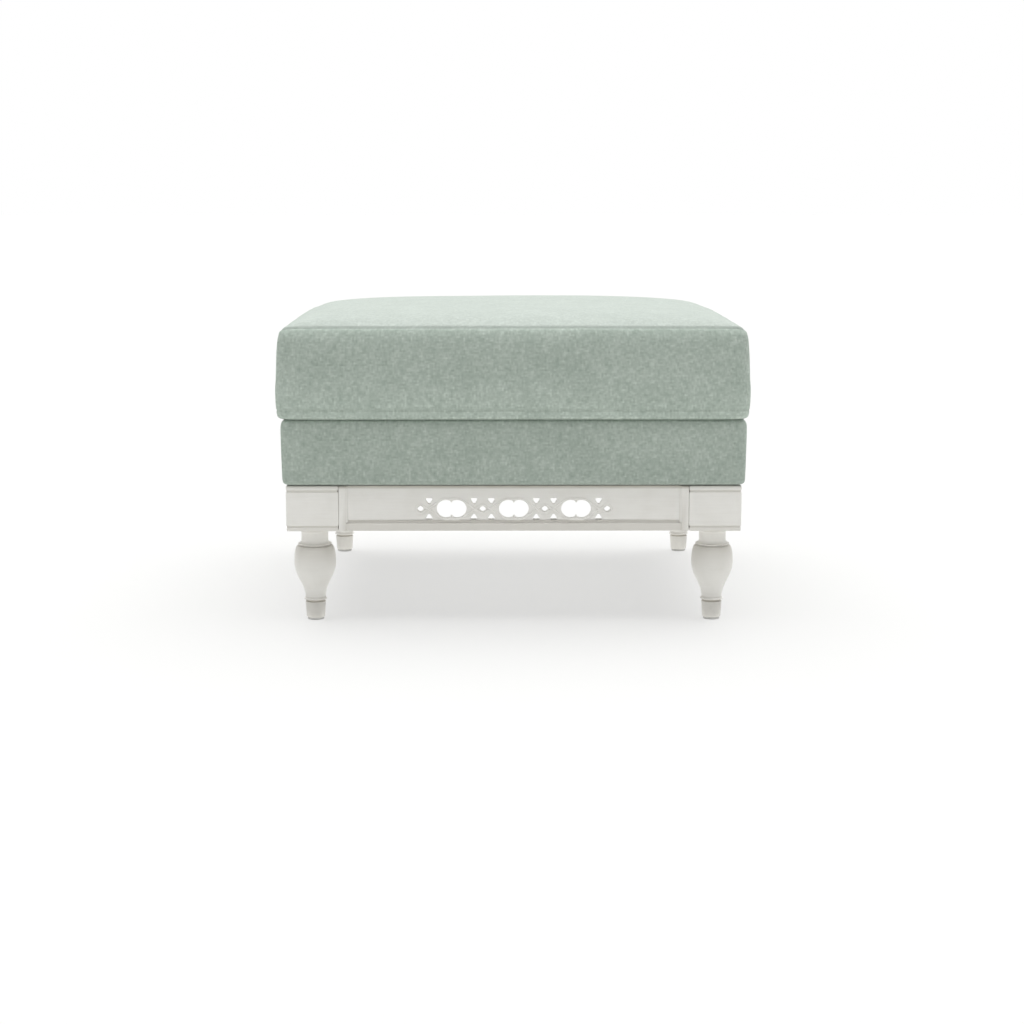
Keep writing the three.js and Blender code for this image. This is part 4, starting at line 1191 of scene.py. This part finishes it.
def threadRow(name, row, body, flat):
    # short raised stitches all round, each a little pillow of thread; flat ones lie on a level cloth
    track = ringOf(row["half"], row["corner"], stitch["straight"], stitch["arc"])
    track = np.concatenate([track, track[:1]])
    run = runAlong(track)
    rings, sides = len(stitch["swell"]), stitch["sides"]
    verts, faces = [], []
    for start in np.arange(0, run[-1] - stitch["pitch"], stitch["pitch"]):
        marks = start + np.linspace(0, stitch["length"], rings)
        xs, ys = np.interp(marks, run, track[:, 0]), np.interp(marks, run, track[:, 1])
        away = np.array([ys[-1] - ys[0], xs[0] - xs[-1]])
        away /= np.linalg.norm(away)
        first = len(verts)
        for x, y, swell in zip(xs, ys, stitch["swell"]):
            for k in range(sides):
                a = 2 * math.pi * k / sides
                proud = (stitch["proud"] + 0.5 * stitch["thick"] * math.cos(a)) * swell
                across = 0.5 * stitch["thick"] * math.sin(a) * swell
                out, up = (across, proud) if flat else (proud, across)
                verts.append((x + away[0] * out, y + away[1] * out, row["height"] + up))
        faces += ringFaces(rings, sides, first)
        faces += [tuple(range(first, first + sides))[::-1], tuple(range(len(verts) - sides, len(verts)))]
    piece = addPiece(name, np.array(verts) * mm, faces, threadFinish, body)
    return piece


threadFinish = plainCloth("sewingThread", (0.40, 0.47, 0.42), (0.50, 0.57, 0.51), 0.4 * mm, 0.1 * mm)
hemStitches = threadRow("hemStitches", hemRow, "cushion", False)
# the row lies askew with the cushion
for spot in hemStitches.data.vertices:
    spot.co.x -= skewAt(spot.co.y)
threadRow("deckStitches", deckRow, "stool", True)

# zip across the back of the cushion
zipper = {
    "centre": 376.3, "half": 270.0,
    "tapeBack": 345.2, "tapeHalf": 9.6, "tapeGap": 0.5, "tapeSteps": 60,
    "tapeSection": [(0, 0), (1, 0.1), (1, 0.55), (0, 0.8)],    # share of the width, and distance outwards
    "coilRadius": 1.15, "coilPitch": 1.5, "coilWire": 0.34, "coilOut": 346.15,
    "coilFlat": 0.465, "coilAcross": 0.55,        # how flat it is pressed, and how far off the middle
    "perTurn": 8, "wireSides": 5,
    "sliderStart": -269.4, "sliderBody": 11.5, "sliderHalf": 4.3, "sliderFoot": 346.3, "sliderTop": 348.9,
    "noseShares": ((0, 0.62), (0.35, 0.75), (1, 1)),       # length and width of the slider's plate
    "plate": 1.0, "bridge": (2.4, 9.2), "bridgeHalf": 0.9, "lap": 0.1,
    "pull": 1.0, "pullUnder": 0.3, "pullLength": 15.0, "pullHalf": 2.7, "pullEnd": 26.0,
    "pullNose": 2.6, "pullNoseStart": 2.0, "pullTaper": 3.0, "pullTailShare": 0.7,
    "arris": 0.28,
}


def zipTape(z, side):
    spots = [(side * (z["tapeGap"] + share * (z["tapeHalf"] - z["tapeGap"])), out)
             for share, out in z["tapeSection"]]
    verts = [(x, z["tapeBack"] + out, z["centre"] + up)
             for x in np.linspace(-z["half"], z["half"], z["tapeSteps"] + 1) for up, out in spots]
    faces = ringFaces(z["tapeSteps"] + 1, len(spots))
    return verts, faces if side > 0 else [face[::-1] for face in faces]


def zipCoil(z, side):
    # the moulded coil: one turn for each tooth, pressed flat, its two halves half a pitch apart
    path = []
    for i in range(int(2 * z["half"] / z["coilPitch"]) * z["perTurn"]):
        a = 2 * math.pi * i / z["perTurn"]
        x = -z["half"] + (i / z["perTurn"] + (0.5 if side > 0 else 0)) * z["coilPitch"]
        if x > z["half"]:
            break
        path.append((x, z["coilOut"] + z["coilFlat"] * z["coilRadius"] * math.sin(a),
                     z["centre"] + side * z["coilRadius"] * (z["coilAcross"] + math.cos(a))))
    away = unit(np.gradient(np.array(path), axis=0))
    across = unit(np.cross(away, (1, 0, 0)))
    verts = []
    for spot, first, second in zip(path, across, np.cross(away, across)):
        for k in range(z["wireSides"]):
            a = 2 * math.pi * k / z["wireSides"]
            verts.append(tuple(spot + z["coilWire"] * (math.cos(a) * first + math.sin(a) * second)))
    return verts, ringFaces(len(path), z["wireSides"])


def zipChain():
    shapes = []
    for side in (-1, 1):
        shapes += [zipTape(zipper, side), zipCoil(zipper, side)]
    verts, faces = joined(shapes)
    addPiece("zipChainAndTape", verts * mm, faces, finishes["zip_tape"], "cushion", ["zip_chain"])


def slab(outline, low, high):
    # an outline in X and Z given a thickness along Y
    return solidBetween([(x, low, z) for x, z in outline], [(x, high, z) for x, z in outline])


def zipSlider():
    z = zipper
    start, mid, foot, top = z["sliderStart"], z["centre"], z["sliderFoot"], z["sliderTop"]
    lower = [(start + along * z["sliderBody"], mid - wide * z["sliderHalf"])
             for along, wide in z["noseShares"]]
    plate = slab(lower + [(x, 2 * mid - up) for x, up in lower[::-1]], foot, foot + z["plate"])
    near, far = (start + along for along in z["bridge"])
    low, high = mid - z["bridgeHalf"], mid + z["bridgeHalf"]
    block = [(near, low), (far, low), (far, high), (near, high)]
    bridge = slab(block, foot + z["plate"] - z["lap"], top - z["lap"])
    half, tip = z["pullHalf"], start + z["pullEnd"] - z["pullNoseStart"]
    tail = start + z["pullEnd"] - z["pullLength"]
    tab = [(tail, mid - z["pullTailShare"] * half), (tail + z["pullTaper"], mid - half), (tip, mid - half)]
    tab += [(tip + z["pullNose"] * math.sin(a), mid - half * math.cos(a))
            for a in np.linspace(0.3, math.pi - 0.3, 7)]
    tab += [(x, 2 * mid - up) for x, up in tab[2::-1]]
    pullTop = top - z["pullUnder"]
    verts, faces = joined([plate, bridge, slab(tab, pullTop - z["pull"], pullTop)])
    piece = addPiece("zipSliderAndPull", verts * mm, faces, finishes["steel"], "zip_pull", ["zip_slider"])
    faceOutward(piece)
    easeEdges(piece, z["arris"] * mm, 2, 30)


zipChain()
zipSlider()
print("zip and stitches added")

# floor and light
studio = {
    "world": 0.40,
    "sky": 3.45, "skyWidth": 80, "skyFrom": (0.03, 0.20, 1.0),
    "floor": (0.76, 0.76, 0.745), "floorHalf": 40,
    "floorWhite": 0.585,     # how far the floor goes to plain white for the camera
    "whiteLevel": 0.932,
    # the soft light thrown back up under the stool: watts, size and height
    "bounce": 0.92, "bounceSide": 0.64, "bounceHeight": 1.5 * mm,
}


def layFloor(s):
    # the floor keeps the stool's shadow, and goes to plain white for the camera where nothing shades it
    finish, tree, shader = newFinish("paleFloor", s["floor"], 0.9)
    shader.inputs["Specular IOR Level"].default_value = 0.1
    plainWhite = tree.nodes.new("ShaderNodeEmission")
    plainWhite.inputs[0].default_value = (1, 1, 1, 1)
    plainWhite.inputs[1].default_value = s["whiteLevel"]
    whiter = tree.nodes.new("ShaderNodeMixShader")
    wire(times(eyeRays(tree), s["floorWhite"]), whiter.inputs[0])
    wire(shader.outputs[0], whiter.inputs[1])
    wire(plainWhite.outputs[0], whiter.inputs[2])
    wire(whiter.outputs[0], tree.nodes["Material Output"].inputs["Surface"])
    mesh = bpy.data.meshes.new("studioFloor")
    far = s["floorHalf"]
    mesh.from_pydata([(-far, -far, 0), (far, -far, 0), (far, far, 0), (-far, far, 0)], [], [(0, 1, 2, 3)])
    mesh.materials.append(finish)
    floor = linked("studioFloor", mesh)


def hangSky(s):
    skyData = bpy.data.lights.new("softSky", "SUN")
    skyData.energy = s["sky"]
    skyData.angle = math.radians(s["skyWidth"])
    softSky = linked("softSky", skyData)
    softSky.location = (0, 0, 3)
    softSky.rotation_euler = (-Vector(s["skyFrom"])).to_track_quat("-Z", "Y").to_euler()


def throwBounce(s):
    bounceData = bpy.data.lights.new("floorBounce", "AREA")
    bounceData.energy = s["bounce"]
    bounceData.size = s["bounceSide"]
    floorBounce = linked("floorBounce", bounceData)
    floorBounce.location = (0, 0, s["bounceHeight"])
    floorBounce.rotation_euler = (math.pi, 0, 0)
    floorBounce.visible_camera = floorBounce.visible_glossy = False


def lightRoom(s):
    # an even pale light from all round, seen by the camera as plain white
    world = bpy.data.worlds.new("studioWorld")
    scene.world = world
    world.use_nodes = True
    back = world.node_tree.nodes["Background"]
    back.inputs[0].default_value = (1, 1, 1, 1)
    level = spread(eyeRays(world.node_tree), 0, 1, s["world"], 1.0)
    wire(level, back.inputs[1])


layFloor(studio)
hangSky(studio)
throwBounce(studio)
lightRoom(studio)
scene.view_settings.view_transform = "Standard"
print("studio lit")
